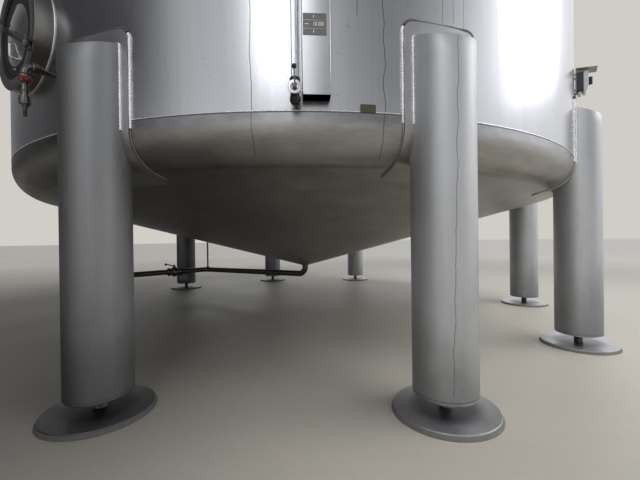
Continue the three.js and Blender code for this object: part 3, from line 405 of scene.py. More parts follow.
def piece(name, shape, finishes, slot, body="tank", nodes=(), crease=38, closed=True, wall=0.0):
    """A mesh object from a shape: doubles merged, faces turned out where it is closed, sharp
    edges above the crease angle, and round the rim of a sheet that gets a wall inwards."""
    points, faces, marks = shape
    mesh = bpy.data.meshes.new(name)
    sizes = np.concatenate([np.full(len(face), face.shape[1]) for face in faces])
    corners = np.concatenate([face.ravel() for face in faces])
    mesh.vertices.add(len(points))
    mesh.vertices.foreach_set("co", points.astype(np.float32).ravel())
    mesh.loops.add(len(corners))
    mesh.loops.foreach_set("vertex_index", corners.astype(np.int32))
    mesh.polygons.add(len(sizes))
    mesh.polygons.foreach_set("loop_start", (np.cumsum(sizes) - sizes).astype(np.int32))
    mesh.update(calc_edges=True)
    index = np.concatenate([np.full(len(face), mark) for face, mark in zip(faces, marks)])
    mesh.polygons.foreach_set("material_index", index.astype(np.int32))
    work = bmesh.new()
    work.from_mesh(mesh)
    bmesh.ops.remove_doubles(work, verts=work.verts, dist=5e-6)
    bmesh.ops.dissolve_degenerate(work, dist=1e-7, edges=work.edges)
    if closed:
        bmesh.ops.recalc_face_normals(work, faces=work.faces)
    work.to_mesh(mesh)
    work.free()
    if not mesh.polygons:
        raise RuntimeError(f"{name} has no faces")
    mesh.shade_smooth()
    mesh.set_sharp_from_angle(angle=math.radians(crease))
    if wall:
        sides = np.empty(len(mesh.loops), np.int32)
        mesh.loops.foreach_get("edge_index", sides)
        sharp = mesh.attributes.get("sharp_edge")
        sharp = sharp or mesh.attributes.new("sharp_edge", "BOOLEAN", "EDGE")
        flags = np.empty(len(mesh.edges), bool)
        sharp.data.foreach_get("value", flags)
        flags |= np.bincount(sides, minlength=len(flags)) == 1
        sharp.data.foreach_set("value", flags)
    for key in [finishes] if isinstance(finishes, str) else finishes:
        mesh.materials.append(finish_of(key))
    obj = bpy.data.objects.new(name, mesh)
    bpy.context.scene.collection.objects.link(obj)
    if wall:
        solidify = obj.modifiers.new("Wall", "SOLIDIFY")
        solidify.thickness = wall
        solidify.offset = -1
    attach(obj, body)
    if nodes:
        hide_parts(*nodes)


def dress(node, shape, finishes, slot, body="tank", **shading):
    """The piece that stands for a CAD node."""
    piece("dressed_" + node, shape, finishes, slot, body, [node], **shading)


# ---- Finishes ----


def add_node(tree, kind, inputs=None, out=0, **settings):
    """A new node with its settings and inputs: a socket is linked, a value is set. Gives back
    one of its outputs, or the node itself."""
    node = tree.nodes.new(kind)
    for key, value in settings.items():
        setattr(node, key, value)
    for key, value in (inputs or {}).items():
        if isinstance(value, bpy.types.NodeSocket):
            tree.links.new(value, node.inputs[key])
        else:
            node.inputs[key].default_value = value
    return node if out is None else node.outputs[out]


class Finish:
    """A node material in the making. Its methods add nodes and give back their outputs."""

    def __init__(self, name, base, metallic=0.0, roughness=0.5):
        self.material = bpy.data.materials.new(name)
        self.material.use_nodes = True
        self.tree = self.material.node_tree
        self.shader = self.tree.nodes["Principled BSDF"]
        self.shader.inputs["Base Color"].default_value = (*base, 1)
        self.shader.inputs["Metallic"].default_value = metallic
        self.shader.inputs["Roughness"].default_value = roughness
        self.place = self.put("ShaderNodeTexCoord", out="Object")
        self.x, self.y, self.z = self.put("ShaderNodeSeparateXYZ", {0: self.place}, None).outputs

    def put(self, kind, inputs=None, out=0, **settings):
        return add_node(self.tree, kind, inputs, out, **settings)

    def noise(self, scale, detail, rough, upright=1, shift=(0, 0, 0)):
        """A noise of the place, drawn out upwards where the upright scale is under one."""
        inputs = {"Vector": self.place, "Scale": (1, 1, upright), "Location": shift}
        vector = self.put("ShaderNodeMapping", inputs)
        inputs = {"Vector": vector, "Scale": scale, "Detail": detail, "Roughness": rough}
        return self.put("ShaderNodeTexNoise", inputs)

    def maths(self, operation, *values):
        return self.put("ShaderNodeMath", dict(enumerate(values)), operation=operation)

    def product(self, a, b):
        return self.maths("MULTIPLY", a, b)

    def span(self, value, low, high, to_low=0.0, to_high=1.0, smooth=False):
        """A value taken from one range to another and kept inside it."""
        inputs = {0: value, 1: low, 2: high, 3: to_low, 4: to_high}
        kind = "SMOOTHSTEP" if smooth else "LINEAR"
        return self.put("ShaderNodeMapRange", inputs, interpolation_type=kind)

    def mix(self, factor, a, b, blend="MIX"):
        a, b = (v if isinstance(v, bpy.types.NodeSocket) else (*v, 1) for v in (a, b))
        inputs = {0: factor, 6: a, 7: b}
        return self.put("ShaderNodeMix", inputs, 2, data_type="RGBA", blend_type=blend)

    def times(self, a, b):
        """Two colours multiplied."""
        return self.mix(1.0, a, b, "MULTIPLY")

    def tint(self, value, low, high):
        """A colour scaled by a factor that runs from low to high with the value."""
        return self.grey(self.span(value, 0.25, 0.75, low, high))

    def grey(self, value):
        return self.put("ShaderNodeCombineColor", {0: value, 1: value, 2: value})

    def drip(self, azimuth, low, high, width, sway, seed, lean=0.0):
        """A thin run of dirt between two heights: one where the distance sideways from an
        azimuth, bent by a noise of the height and leaning with it, is under the width."""
        sine, cosine = math.sin(math.radians(azimuth)), math.cos(math.radians(azimuth))
        across = self.maths("MULTIPLY_ADD", self.y, cosine, self.product(self.x, -sine))
        out = self.maths("MULTIPLY_ADD", self.y, sine, self.product(self.x, cosine))
        path = self.put("ShaderNodeCombineXYZ", {0: seed, 2: self.z})
        wave = self.put("ShaderNodeTexNoise", {"Vector": path, "Scale": 6, "Detail": 5})
        shift = self.span(wave, 0.3, 0.7, -sway, sway)
        if lean:
            shift = self.maths("SUBTRACT", shift, self.product(self.z, lean))
        offset = self.maths("ABSOLUTE", self.maths("ADD", across, shift))
        line = self.span(offset, width * 0.4, width, 1, 0)
        ends = self.product(self.span(self.z, high, high + 0.02, 1, 0),
                            self.span(self.z, low - 0.01, low, 0, 1))
        return self.product(self.product(line, ends), self.maths("GREATER_THAN", out, 1.0))

    def drips(self, runs):
        """The strongest of several runs of dirt at each point."""
        dirt = self.drip(*runs[0])
        for run in runs[1:]:
            dirt = self.maths("MAXIMUM", dirt, self.drip(*run))
        return dirt

    def from_leg(self):
        """Distance from the nearest leg's middle line, from the azimuth's remainder by a tenth
        of a turn and the distance from the axis."""
        g = bpy.context.scene.tank_legs
        part = TAU / LEG_PLACES
        turn = self.maths("SUBTRACT", self.maths("ARCTAN2", self.y, self.x), g.phase - part / 2)
        turn = self.maths("SUBTRACT", self.maths("FLOORED_MODULO", turn, part), part / 2)
        out = self.from_axis(self.x, self.y)
        along = self.maths("SUBTRACT", self.product(out, self.maths("COSINE", turn)), g.ring)
        return self.from_axis(self.product(out, self.maths("SINE", turn)), along)

    def from_axis(self, x, y):
        """The length of (x, y)."""
        flat = self.put("ShaderNodeCombineXYZ", {0: x, 1: y})
        return self.put("ShaderNodeVectorMath", {0: flat}, "Value", operation="LENGTH")

    def give(self, socket, value):
        self.tree.links.new(value, self.shader.inputs[socket])

    def roughen(self, noise, low, high):
        """Roughness that runs from low to high with a noise."""
        self.give("Roughness", self.span(noise, 0.3, 0.7, low, high))

    def bump(self, height, strength, distance):
        inputs = {"Height": height, "Strength": strength, "Distance": distance}
        self.give("Normal", self.put("ShaderNodeBump", inputs))


# Colour of dried dirt, and its runs on the shell: azimuth in degrees, lowest and highest point,
# width, sway and the place in the noise that bends it. The leg's run also leans with the height.
DIRT = (0.05, 0.045, 0.04)
SHELL_DRIPS = [
    (267.65, 1.03, 2.9, 0.0022, 0.006, 0.0),
    (280.55, 1.02, 2.6, 0.0022, 0.009, 3.0),
    (277.9, 1.55, 1.9, 0.0018, 0.003, 5.0),
    (287.1, 1.57, 1.85, 0.0014, 0.003, 9.0),
    (288.4, 1.58, 1.95, 0.0014, 0.004, 11.0),
    (289.7, 1.56, 1.80, 0.0014, 0.003, 13.0),
]
LEG_DRIP = (285.45, 0.12, 1.5, 0.0020, 0.006, 7.0, 0.023)

made = {}


def finish_of(name):
    """The material of one of the tank's finishes, made on its first use."""
    if name not in made:
        made[name] = FINISHES[name](bpy.context.scene.tank_finish)
        made[name].name = name
    return made[name]


def shell_finish(c):
    """Rolled sheet: fine upright streaks, cloudy patches, a soft waviness and runs of dirt."""
    f = Finish("shell", c.shell, 1.0, 0.3)
    streaks = f.noise(60, 3, 0.6, 0.012)
    clouds = f.noise(1.6, 5, 0.55, 0.5)
    specks = f.noise(45, 2, 0.5, 1, (3, 1, 0))
    base = f.times(c.shell, f.tint(streaks, 0.965, 1.025))
    base = f.times(base, f.tint(clouds, 0.9, 1.06))
    base = f.mix(f.span(specks, 0.72, 0.78, 0, 0.35), base, (0.2, 0.2, 0.2))
    base = f.mix(f.product(f.drips(SHELL_DRIPS), 0.75), base, DIRT)
    f.give("Base Color", base)
    f.roughen(clouds, 0.22, 0.30)
    f.bump(f.noise(2.2, 1, 0.4, 0.35), 0.35, 0.012)
    return f.material


def ends_finish(c):
    """Pickled plate: browner and duller than the shell, clouded and smeared, with a faint weld
    line under the knuckle, runs of dirt, and a bright rolled band below the seam. Low down it
    has painted shade, darker towards the tank's left and over the knuckle."""
    f = Finish("ends", c.ends, 1.0, 0.42)
    z = f.z
    clouds = f.noise(1.8, 6, 0.6, 1.5)
    smears = f.noise(7, 6, 0.7, 3.0)
    patches = f.noise(3, 5, 0.65, 2.0, (5, 2, 0))
    base = f.times(c.ends, f.tint(clouds, 0.8, 1.1))
    base = f.times(base, f.tint(smears, 0.76, 1.18))
    # Painted shade: darker towards the tank's left and over the knuckle, fading out above 1.3 m
    shade = f.product(f.span(f.x, -1.4, 0.1, 0.36, 1.0), f.span(z, 0.98, 1.06, 1.0, 0.84))
    shade = f.grey(shade)
    shade = f.mix(f.span(z, 1.3, 1.4), shade, (1, 1, 1))
    line = f.product(f.span(z, 0.988, 0.994), f.span(z, 0.9945, 1.002, 1, 0))
    base = f.mix(f.product(line, 0.3), base, (0.12, 0.11, 0.10))
    band = f.maths("SUBTRACT", z, f.span(smears, 0.3, 0.7, -0.012, 0.012))
    band = f.product(f.span(band, 1.126, 1.150), f.span(z, 1.3, 1.4, 1, 0))
    rolled = f.times(c.shell, f.tint(patches, 0.42, 1.02))
    base = f.times(f.mix(band, base, rolled), shade)
    base = f.mix(f.product(f.drips(SHELL_DRIPS[:2]), 0.7), base, DIRT)
    f.give("Base Color", base)
    rough = f.span(smears, 0.3, 0.7, 0.36, 0.5)
    f.give("Roughness", f.maths("SUBTRACT", rough, f.product(band, 0.12)))
    f.bump(clouds, 0.25, 0.01)
    return f.material


def pads_finish(c):
    """Plate as the shell's above the seam, browner below it."""
    f = Finish("pads", c.shell, 1.0, 0.36)
    clouds = f.noise(4, 5, 0.6)
    base = f.mix(f.span(f.z, 1.10, 1.17), c.ends, c.shell)
    f.give("Base Color", f.times(base, f.tint(clouds, 0.85, 1.06)))
    f.roughen(clouds, 0.32, 0.42)
    f.bump(f.noise(48, 2, 0.5), 0.1, 0.0006)
    return f.material


def legs_finish(c):
    """Blasted tube: matt, mottled, with faint upright wiping marks, painted shade towards the
    tank's left, and darker towards the foot.
    """
    f = Finish("legs", c.legs, 0.8, 0.5)
    mottle = f.noise(5, 6, 0.62, 0.45)
    fine = f.noise(180, 2, 0.5)
    wipes = f.noise(40, 3, 0.5, 0.05)
    base = f.times(c.legs, f.tint(mottle, 0.86, 1.1))
    base = f.times(base, f.tint(wipes, 0.96, 1.03))
    # Painted shade: darker towards the tank's left, most on the left side of the left leg, and a
    # little brighter to the right
    shade = f.product(f.span(f.x, -0.84, -0.70, 0.42, 1), f.span(f.x, -0.7, 0.6, 0.57, 1.1))
    base = f.times(base, f.grey(shade))
    # Darker towards the foot, up to a height that wavers with a noise
    splashes = f.span(f.noise(3, 4, 0.6, 0.6), 0.3, 0.7, 0.25, 0.6)
    foot = f.maths("SUBTRACT", f.z, splashes)
    base = f.times(base, f.grey(f.span(foot, -0.35, 0.15, 0.58, 1.0, True)))
    dirt = f.product(f.drip(*LEG_DRIP), 0.6)
    f.give("Base Color", f.mix(dirt, base, (0.09, 0.085, 0.08)))
    f.roughen(mottle, 0.46, 0.56)
    f.bump(fine, 0.12, 0.0006)
    return f.material


def metal_finish(key, roughness, spread, scale, strength=0.1, metallic=1.0):
    """Small metal parts: a colour with cloudy tone and roughness, and a fine grain."""

    def build(c):
        base = getattr(c, key)
        f = Finish(key, base, metallic, roughness)
        clouds = f.noise(scale, 5, 0.6)
        grain = f.noise(scale * 12, 2, 0.5)
        f.give("Base Color", f.times(base, f.tint(clouds, 0.85, 1.08)))
        f.roughen(clouds, roughness - spread, roughness + spread)
        f.bump(grain, strength, 0.0006)
        return f.material

    return build


def glass_finish(c):
    """Clear tube with a faint grey film, and painted shade at its edges."""
    clear, edges = (0.93, 0.95, 0.96), (0.10, 0.085, 0.075)
    f = Finish("gauge_glass", clear, 0.0, 0.03)
    # Painted shade: a dark rim where the tube turns away from view
    facing = f.put("ShaderNodeLayerWeight", {0: 0.5}, "Facing")
    f.give("Base Color", f.mix(f.span(facing, 0.72, 0.92), clear, edges))
    f.shader.inputs["Transmission Weight"].default_value = 1.0
    f.shader.inputs["IOR"].default_value = 1.45
    film = f.noise(14, 4, 0.6, 0.2)
    f.give("Roughness", f.span(film, 0.3, 0.75, 0.01, 0.03))
    return f.material


def feet_finish(c):
    """Dull worn plate with stains, painted shade darker towards the tank's left side, and a
    painted shadow round the foot of each leg.
    """
    f = Finish("feet", c.feet, 0.85, 0.45)
    stains = f.noise(9, 6, 0.65)
    grit = f.noise(90, 3, 0.6)
    base = f.times(c.feet, f.tint(stains, 0.75, 1.15))
    # Painted shade: darker towards the tank's left, brighter towards its right
    base = f.times(base, f.grey(f.span(f.x, -0.9, 0.75, 0.2, 1.4)))
    base = f.mix(f.span(grit, 0.6, 0.75, 0, 0.4), base, (0.14, 0.135, 0.13))
    # Painted shadow round the foot of each leg
    under = f.span(f.from_leg(), 0.10, 0.165, 0.38, 1, True)
    f.give("Base Color", f.times(base, f.grey(under)))
    f.roughen(stains, 0.32, 0.46)
    f.bump(grit, 0.15, 0.0006)
    return f.material


def bed_finish(c):
    """Rough grey bed round a foot plate, with painted shade darker towards the tank's left."""
    f = Finish("foot_bed", (0.23, 0.225, 0.215), 0.0, 0.85)
    lumps = f.noise(40, 5, 0.7)
    base = f.mix(lumps, (0.13, 0.127, 0.12), (0.33, 0.325, 0.31))
    # Painted shade: darker towards the tank's left
    shade = f.grey(f.span(f.x, -0.9, 0.9, 0.30, 0.80))
    f.give("Base Color", f.times(base, shade))
    f.bump(lumps, 0.5, 0.004)
    return f.material


FINISHES = {
    "shell": shell_finish,
    "ends": ends_finish,
    "legs": legs_finish,
    "pads": pads_finish,
    "feet": feet_finish,
    "foot_bed": bed_finish,
    "polished": metal_finish("polished", 0.14, 0.05, 8, 0.04),
    "fittings": metal_finish("polished", 0.24, 0.07, 12, 0.08),
    "pipework": metal_finish("pipe", 0.34, 0.08, 7, 0.08),
    "satin": metal_finish("satin", 0.33, 0.08, 14, 0.1),
    "label": metal_finish("label", 0.42, 0.06, 20, 0.05, 0.5),
    "weld": metal_finish("weld", 0.26, 0.08, 60, 0.4, 0.8),
    "seam": metal_finish("dark", 0.5, 0.1, 9, 0.2),
    "crown": metal_finish("neck", 0.5, 0.1, 40, 0.3),
    "neck": metal_finish("neck", 0.32, 0.06, 5, 0.08),
    "dark_metal": metal_finish("dark", 0.32, 0.08, 15, 0.12),
    "gasket": metal_finish("black", 0.6, 0.1, 20, 0.15, 0.0),
    "black_plastic": metal_finish("black", 0.5, 0.08, 25, 0.1, 0.0),
    "red_plastic": metal_finish("red", 0.4, 0.08, 25, 0.12, 0.0),
    "slate_plastic": metal_finish("slate", 0.45, 0.06, 25, 0.1, 0.0),
    "grey_plastic": metal_finish("grey", 0.42, 0.06, 25, 0.08, 0.0),
    "tag": metal_finish("tag", 0.5, 0.1, 60, 0.2, 0.7),
    "figures": metal_finish("weld", 0.5, 0.06, 30, 0.05, 0.0),
    "gauge_glass": glass_finish,
}


# ---- Vessel ----


def end_outline(v, offset, inner, steps=18):
    """The vessel's outer face from an inner radius on the cone, round the knuckle and up to the
    seam, moved out by an offset: the cone is straight, the knuckle an arc about its centre."""
    knee, low = v.radius - v.knuckle, v.seam - v.flange
    bend = v.knuckle + offset
    a = np.linspace(math.pi / 2 - v.slope, 0, steps + 1)
    arc = np.stack([knee + bend * np.cos(a), low - bend * np.sin(a)], 1)
    r = np.linspace(inner, arc[0, 0], 14)[:-1]
    cone = np.stack([r, arc[0, 1] - (arc[0, 0] - r) * math.tan(v.slope)], 1)
    return np.concatenate([cone, arc, [[v.radius + offset, v.seam]]])


def cone_tip(v):
    """Height at which the bottom's cone would meet the tank's axis."""
    edge = v.radius - v.knuckle + v.knuckle * math.sin(v.slope)
    return v.seam - v.flange - v.knuckle * math.cos(v.slope) - edge * math.tan(v.slope)


def end_shell(v, hole):
    outside = end_outline(v, 0, hole)
    inside = end_outline(v, -v.plate, hole)[::-1]
    outside[-1, 1] = inside[0, 1] = v.seam - GAP
    return np.concatenate([outside, inside])


def flat_bead(radius, height, width, rise):
    """A low band on the shell: radius + rise (1 - t^2) while t runs from -1 to 1 across it."""
    t = np.linspace(-1, 1, 7)
    face = np.stack([radius + rise * (1 - t**2), height + t * width / 2], 1)
    back = [(radius - 0.001, height + width / 2), (radius - 0.001, height - width / 2)]
    return revolve(np.concatenate([face, back]), 360, True)


def pierced_course(v, m, low, high):
    """The outer face of a course as a grid of azimuth and height, with a square patch round the
    manway replaced by rings that go over from the square to the hole's circle."""
    step, tall = math.radians(360 / AROUND), 0.06
    cells, below = 12, 3
    first = m.azimuth - step * cells / 2
    azimuth = first + step * np.arange(AROUND)
    patch_low = m.height - tall * cells / 2
    rows = np.concatenate([
        np.linspace(low, patch_low, below + 1)[:-1],
        patch_low + tall * np.arange(cells + 1),
        np.linspace(patch_low + tall * cells, high, 12)[1:],
    ])
    a, z = np.meshgrid(azimuth, rows)
    points = sheet(v.radius * np.cos(a), v.radius * np.sin(a), z)
    shape, faces, marks = grid(points, False, True)
    row, column = np.divmod(faces[0][:, 0], AROUND)
    inside = (column < cells) & (row >= below) & (row < below + cells)
    k = np.arange(cells)
    half = cells / 2
    side = np.stack([k - half, np.full(cells, -half)], 1)
    ring = np.concatenate([side, side[:, ::-1] * [-1, 1], -side, side[:, ::-1] * [1, -1]])
    phi = np.arctan2(ring[:, 1] * tall, ring[:, 0] * step * v.radius)
    hole = m.neck + GAP
    inner = np.stack([np.arcsin(hole * np.cos(phi) / v.radius), hole * np.sin(phi)], 1)
    outer = ring * [step, tall]
    t = np.linspace(0, 1, 7)[:, None, None]
    flat = outer[None] * (1 - t) + inner[None] * t
    a, z = m.azimuth + flat[..., 0], m.height + flat[..., 1]
    collar = grid(sheet(v.radius * np.cos(a), v.radius * np.sin(a), z), False, True)
    return joined((shape, [faces[0][~inside]], marks), collar)


class TANK_OT_shell(bpy.types.Operator):
    """Shell courses, bottom, roof, vent and the seams between them"""

    bl_idname = "tank.build_shell"
    bl_label = "Shell and Ends"

    def execute(self, context):
        v, m = context.scene.tank_vessel, context.scene.tank_manway
        first = pierced_course(v, m, v.seam, v.seam + v.course - GAP)
        dress("shell_course_1", first, "shell", "shell", closed=False, wall=v.plate)
        for course in (1, 2):
            low = v.seam + course * v.course
            z = np.linspace(low, low + v.course - GAP, 6)
            outer = np.stack([np.full(6, v.radius), z], 1)
            inner = np.stack([np.full(6, v.radius - v.plate), z[::-1]], 1)
            shape = revolve(np.concatenate([outer, inner]), AROUND, True)
            dress(f"shell_course_{course + 1}", shape, "shell", "shell")
        bottom = end_shell(v, 0.027)
        dress("bottom_end", revolve(bottom, AROUND, True), "ends", "ends")
        top = 2 * v.seam + 3 * v.course
        roof = end_shell(v, 0.0843)[::-1] * [1, -1] + [0, top]
        dress("roof_end", revolve(roof, AROUND, True), "ends", "ends")
        tip = top - cone_tip(v)
        z, foot = tip + 0.15, tip - 0.084 * math.tan(v.slope) - 0.006
        neck = spun([(0.084, foot), (0.084, z), (0.08, z), (0.08, foot)], 0.001, 2, 64, True)
        dress("roof_nozzle", neck, "ends", "fittings")
        cap = spun([
            (0, z + 0.0063), (0.076, z + 0.0063), (0.076, z - 0.035), (0.0797, z - 0.035),
            (0.0797, z + GAP), (0.134, z + GAP), (0.134, z - 0.055), (0.14, z - 0.055),
            (0.14, z + 0.0175), (0, z + 0.035),
        ], 0.004, 3, 72)
        dress("vent_cap", cap, "ends", "fittings")
        heights = [v.seam + k * v.course for k in range(4)]
        beads = [flat_bead(v.radius, z, v.seam_bead, 0.0005) for z in heights]
        piece("shell_seams", joined(*beads), "seam", "shell")
        edges = [flat_bead(v.radius, z + 0.0045, 0.0034, 0.0008) for z in heights]
        piece("seam_edges", joined(*edges), "weld", "shell")
        return {"FINISHED"}


# ---- Legs ----


def under_height(v, rho, offset):
    """Height of the vessel's underside, moved out by an offset, at a distance from the axis:
    the knuckle's arc outside its lower end, the cone inside it."""
    knee, bend = v.radius - v.knuckle, v.knuckle + offset
    edge = knee + bend * math.sin(v.slope)
    arc = v.seam - v.flange - np.sqrt(np.maximum(bend**2 - (np.maximum(rho, edge) - knee) ** 2, 0))
    return arc - np.maximum(edge - rho, 0) * math.tan(v.slope)


def leg_shape(v, g):
    """A tube coped on to its pad. Round the tube by the angle t, the front rises to a sloping
    plane and the back to the vessel's underside; both edges are closed over to the pad."""
    clear = g.pad_plate + 0.0006
    touch = v.radius + clear
    edge = math.acos((touch**2 - g.ring**2 - g.radius**2) / (2 * g.ring * g.radius))
    low, knee = g.bottom + 0.016, v.seam - v.flange

    def rim(t, radius):
        return g.ring + radius * np.cos(t), radius * np.sin(t)

    def plane(x):
        return g.top + (g.ring + g.radius - x) * math.tan(g.cap_slope)

    def side(x, y, top):
        return grid(sheet(x, y, low + np.linspace(0, 1, 12)[:, None] * (top - low)))

    def rings(mark, *levels):
        """Rings round the leg, one for each level of (radius, height)."""
        radius, height = np.array(levels).T[:, :, None]
        points = sheet(*rim(np.concatenate([front, back[1:-1]]), radius), height)
        return grid(points, False, True, mark)

    front, back = np.linspace(-edge, edge, 49), np.linspace(edge, TAU - edge, 41)
    xf, yf = rim(front, g.radius)
    xb, yb = rim(back, g.radius)
    lower = side(xf, yf, np.full(49, knee))
    share = np.linspace(0, 1, 6)[:, None]
    upper = grid(sheet(xf, yf, knee + share * (plane(xf) - 0.003 - knee)))
    behind = side(xb, yb, under_height(v, np.hypot(xb, yb), clear))
    wall_x = np.sqrt(touch**2 - yf**2)
    t = np.concatenate([[0.0], np.linspace(0.024, 1, 8)])[:, None]
    x = xf + t * (wall_x - xf)
    cap = sheet(x, yf, plane(x))
    cap[0, :, 2] -= 0.003
    x = xb + share * (np.sqrt(touch**2 - yb**2) - xb)
    under = grid(sheet(x, yb, under_height(v, np.hypot(x, yb), clear)))
    wall = grid(sheet(wall_x, yf, knee + share * (plane(wall_x) - knee)))
    sole = rings(0, (0.1266, g.bottom + 0.0045), (0.1268, g.bottom + 0.006),
                 (0.1268, low - 0.003), (0.1253, low - 0.0027))
    groove = rings(1, (0.1253, low - 0.0027), (0.1253, low - 0.0003), (g.radius, low))
    underside = rings(2, (0, g.bottom), (0.1225, g.bottom), (0.1245, g.bottom + 0.0008),
                      (0.1266, g.bottom + 0.0045))
    return joined(lower, upper, behind, grid(cap), under, wall, sole, groove, underside)


def pad_outline(v, g, offset):
    """The line down a pad's middle, from its inner end under the cone up to its top."""
    line = end_outline(v, offset, g.pad_inner)
    line = np.concatenate([line[:-1], [[v.radius + offset, g.pad_top]]])
    return np.stack([line[:, 0], np.zeros(len(line)), line[:, 1]], 1)


def pad_half_width(g, s, total):
    """Half width at a distance along the pad: a quarter circle takes it in at both ends."""
    corner = 0.045
    inside = np.clip(corner - np.minimum(s, total - s), 0, corner)
    return g.pad_half - corner + np.sqrt(corner**2 - inside**2)


def pad_shape(v, g):
    """A strip over shell, knuckle and cone: at the distance y sideways the point lies at
    x = sqrt(rho^2 - y^2), with rho and z from the line down the middle."""
    line, s = resampled(pad_outline(v, g, g.pad_plate + GAP), 0.004)
    at = (0.5 - 0.5 * np.cos(np.linspace(0, math.pi, 70))) * s[-1]
    rho, z = np.interp(at, s, line[:, 0])[:, None], np.interp(at, s, line[:, 2])[:, None]
    y = pad_half_width(g, at, s[-1])[:, None] * np.linspace(-1, 1, 17)
    return grid(sheet(np.sqrt(rho**2 - y**2), y, z))


def leg_welds(v, g, seed):
    """Beads along a pad's edge and along both sides, cap and back of the leg's joint."""
    line, s = resampled(pad_outline(v, g, 0.002), 0.004)
    half = pad_half_width(g, s, s[-1]) + 0.003
    right = np.stack([np.sqrt(line[:, 0] ** 2 - half**2), half, line[:, 2]], 1)
    right[line[:, 2] > v.seam - v.flange, 1] += 0.002
    left = right * [1, -1, 1]
    upper = line[:, 2] > g.pad_top - 0.02
    upright = (line[:, 2] > v.seam - v.flange) & ~upper
    under = ~upright & ~upper
    below = np.concatenate([right[under][::-1], left[under]])
    crown = np.concatenate([right[upper], left[upper][::-1]]) + [0.004, 0, 0.002]
    touch = v.radius + g.pad_plate
    y = g.radius * 0.999
    x = math.sqrt(touch**2 - y**2) + 0.002
    high = g.top + (g.ring + g.radius - x) * math.tan(g.cap_slope)
    z = np.linspace(v.seam - v.flange, high, 60)
    sides = [np.stack([np.full(60, x), np.full(60, k * (y + 0.002)), z], 1) for k in (-1, 1)]
    t = np.linspace(-1, 1, 40)
    top_x = np.sqrt(touch**2 - (t * y) ** 2) + 0.002
    top_z = g.top + (g.ring + g.radius - top_x) * math.tan(g.cap_slope)
    top = np.stack([top_x, t * y, top_z], 1)
    up = (0.7, 0.0, -0.7)
    beads = [bead(below, g.bead * 0.6, up, seed, mark=2),
             bead(crown, g.bead * 0.8, up, seed + 5, mark=1, swell=0.3)]
    for k, path in enumerate([right[upright], left[upright], *sides]):
        beads.append(bead(path, g.bead * (1.1 if k < 2 else 0.92), (1, 0, 0), seed + k, swell=0.25))
    beads.append(bead(top, g.bead * 0.8, (0, 0, 1), seed + 3))
    return joined(*beads)


def foot_shape(g):
    """Round plate in a flared bed, with a threaded spindle up to the leg."""
    top = spun([(0, 0.004), (0.2, 0.004), (0.2038, 0.009), (0.2038, 0.0184), (0.2022, 0.02),
                (0, 0.02)], 0.0006, 3, 96)
    bed = spun([(0.190, 0.0004), (0.212, 0.0004), (0.2116, 0.0025), (0.2042, 0.015),
                (0.190, 0.015)], 0.0008, 2, 96, True, 1)
    spindle = threaded(np.linspace(0.017, g.bottom - GAP, 61), 0, 0.0240, 0.0009, 0.006, 40, 2)
    parts = joined(top, bed, spindle)
    return shifted(parts, x=g.ring)


class TANK_OT_legs(bpy.types.Operator):
    """Nine legs with their weld pads, welds and feet"""

    bl_idname = "tank.build_legs"
    bl_label = "Legs and Feet"

    def execute(self, context):
        v, g = context.scene.tank_vessel, context.scene.tank_legs
        leg, pad, foot = leg_shape(v, g), pad_shape(v, g), foot_shape(g)
        places = [k for k in range(LEG_PLACES) if k != EMPTY_PLACE]
        for number, place in enumerate(places, 1):
            azimuth = g.phase + TAU * place / LEG_PLACES
            tube = stationed(leg, azimuth)
            dress(f"leg_{number}", tube, ["legs", "seam", "fittings"], "legs")
            strip = stationed(pad, azimuth)
            dress(f"leg_pad_{number}", strip, "pads", "pads", closed=False, wall=g.pad_plate)
            round_foot = stationed(foot, azimuth)
            dress(f"foot_{number}", round_foot, ["feet", "foot_bed", "dark_metal"], "feet")
            welds = stationed(leg_welds(v, g, 1.7 * number), azimuth)
            piece(f"leg_weld_{number}", welds, ["weld", "crown", "ends"], "pads", crease=80)
        return {"FINISHED"}


# ---- Manway ----


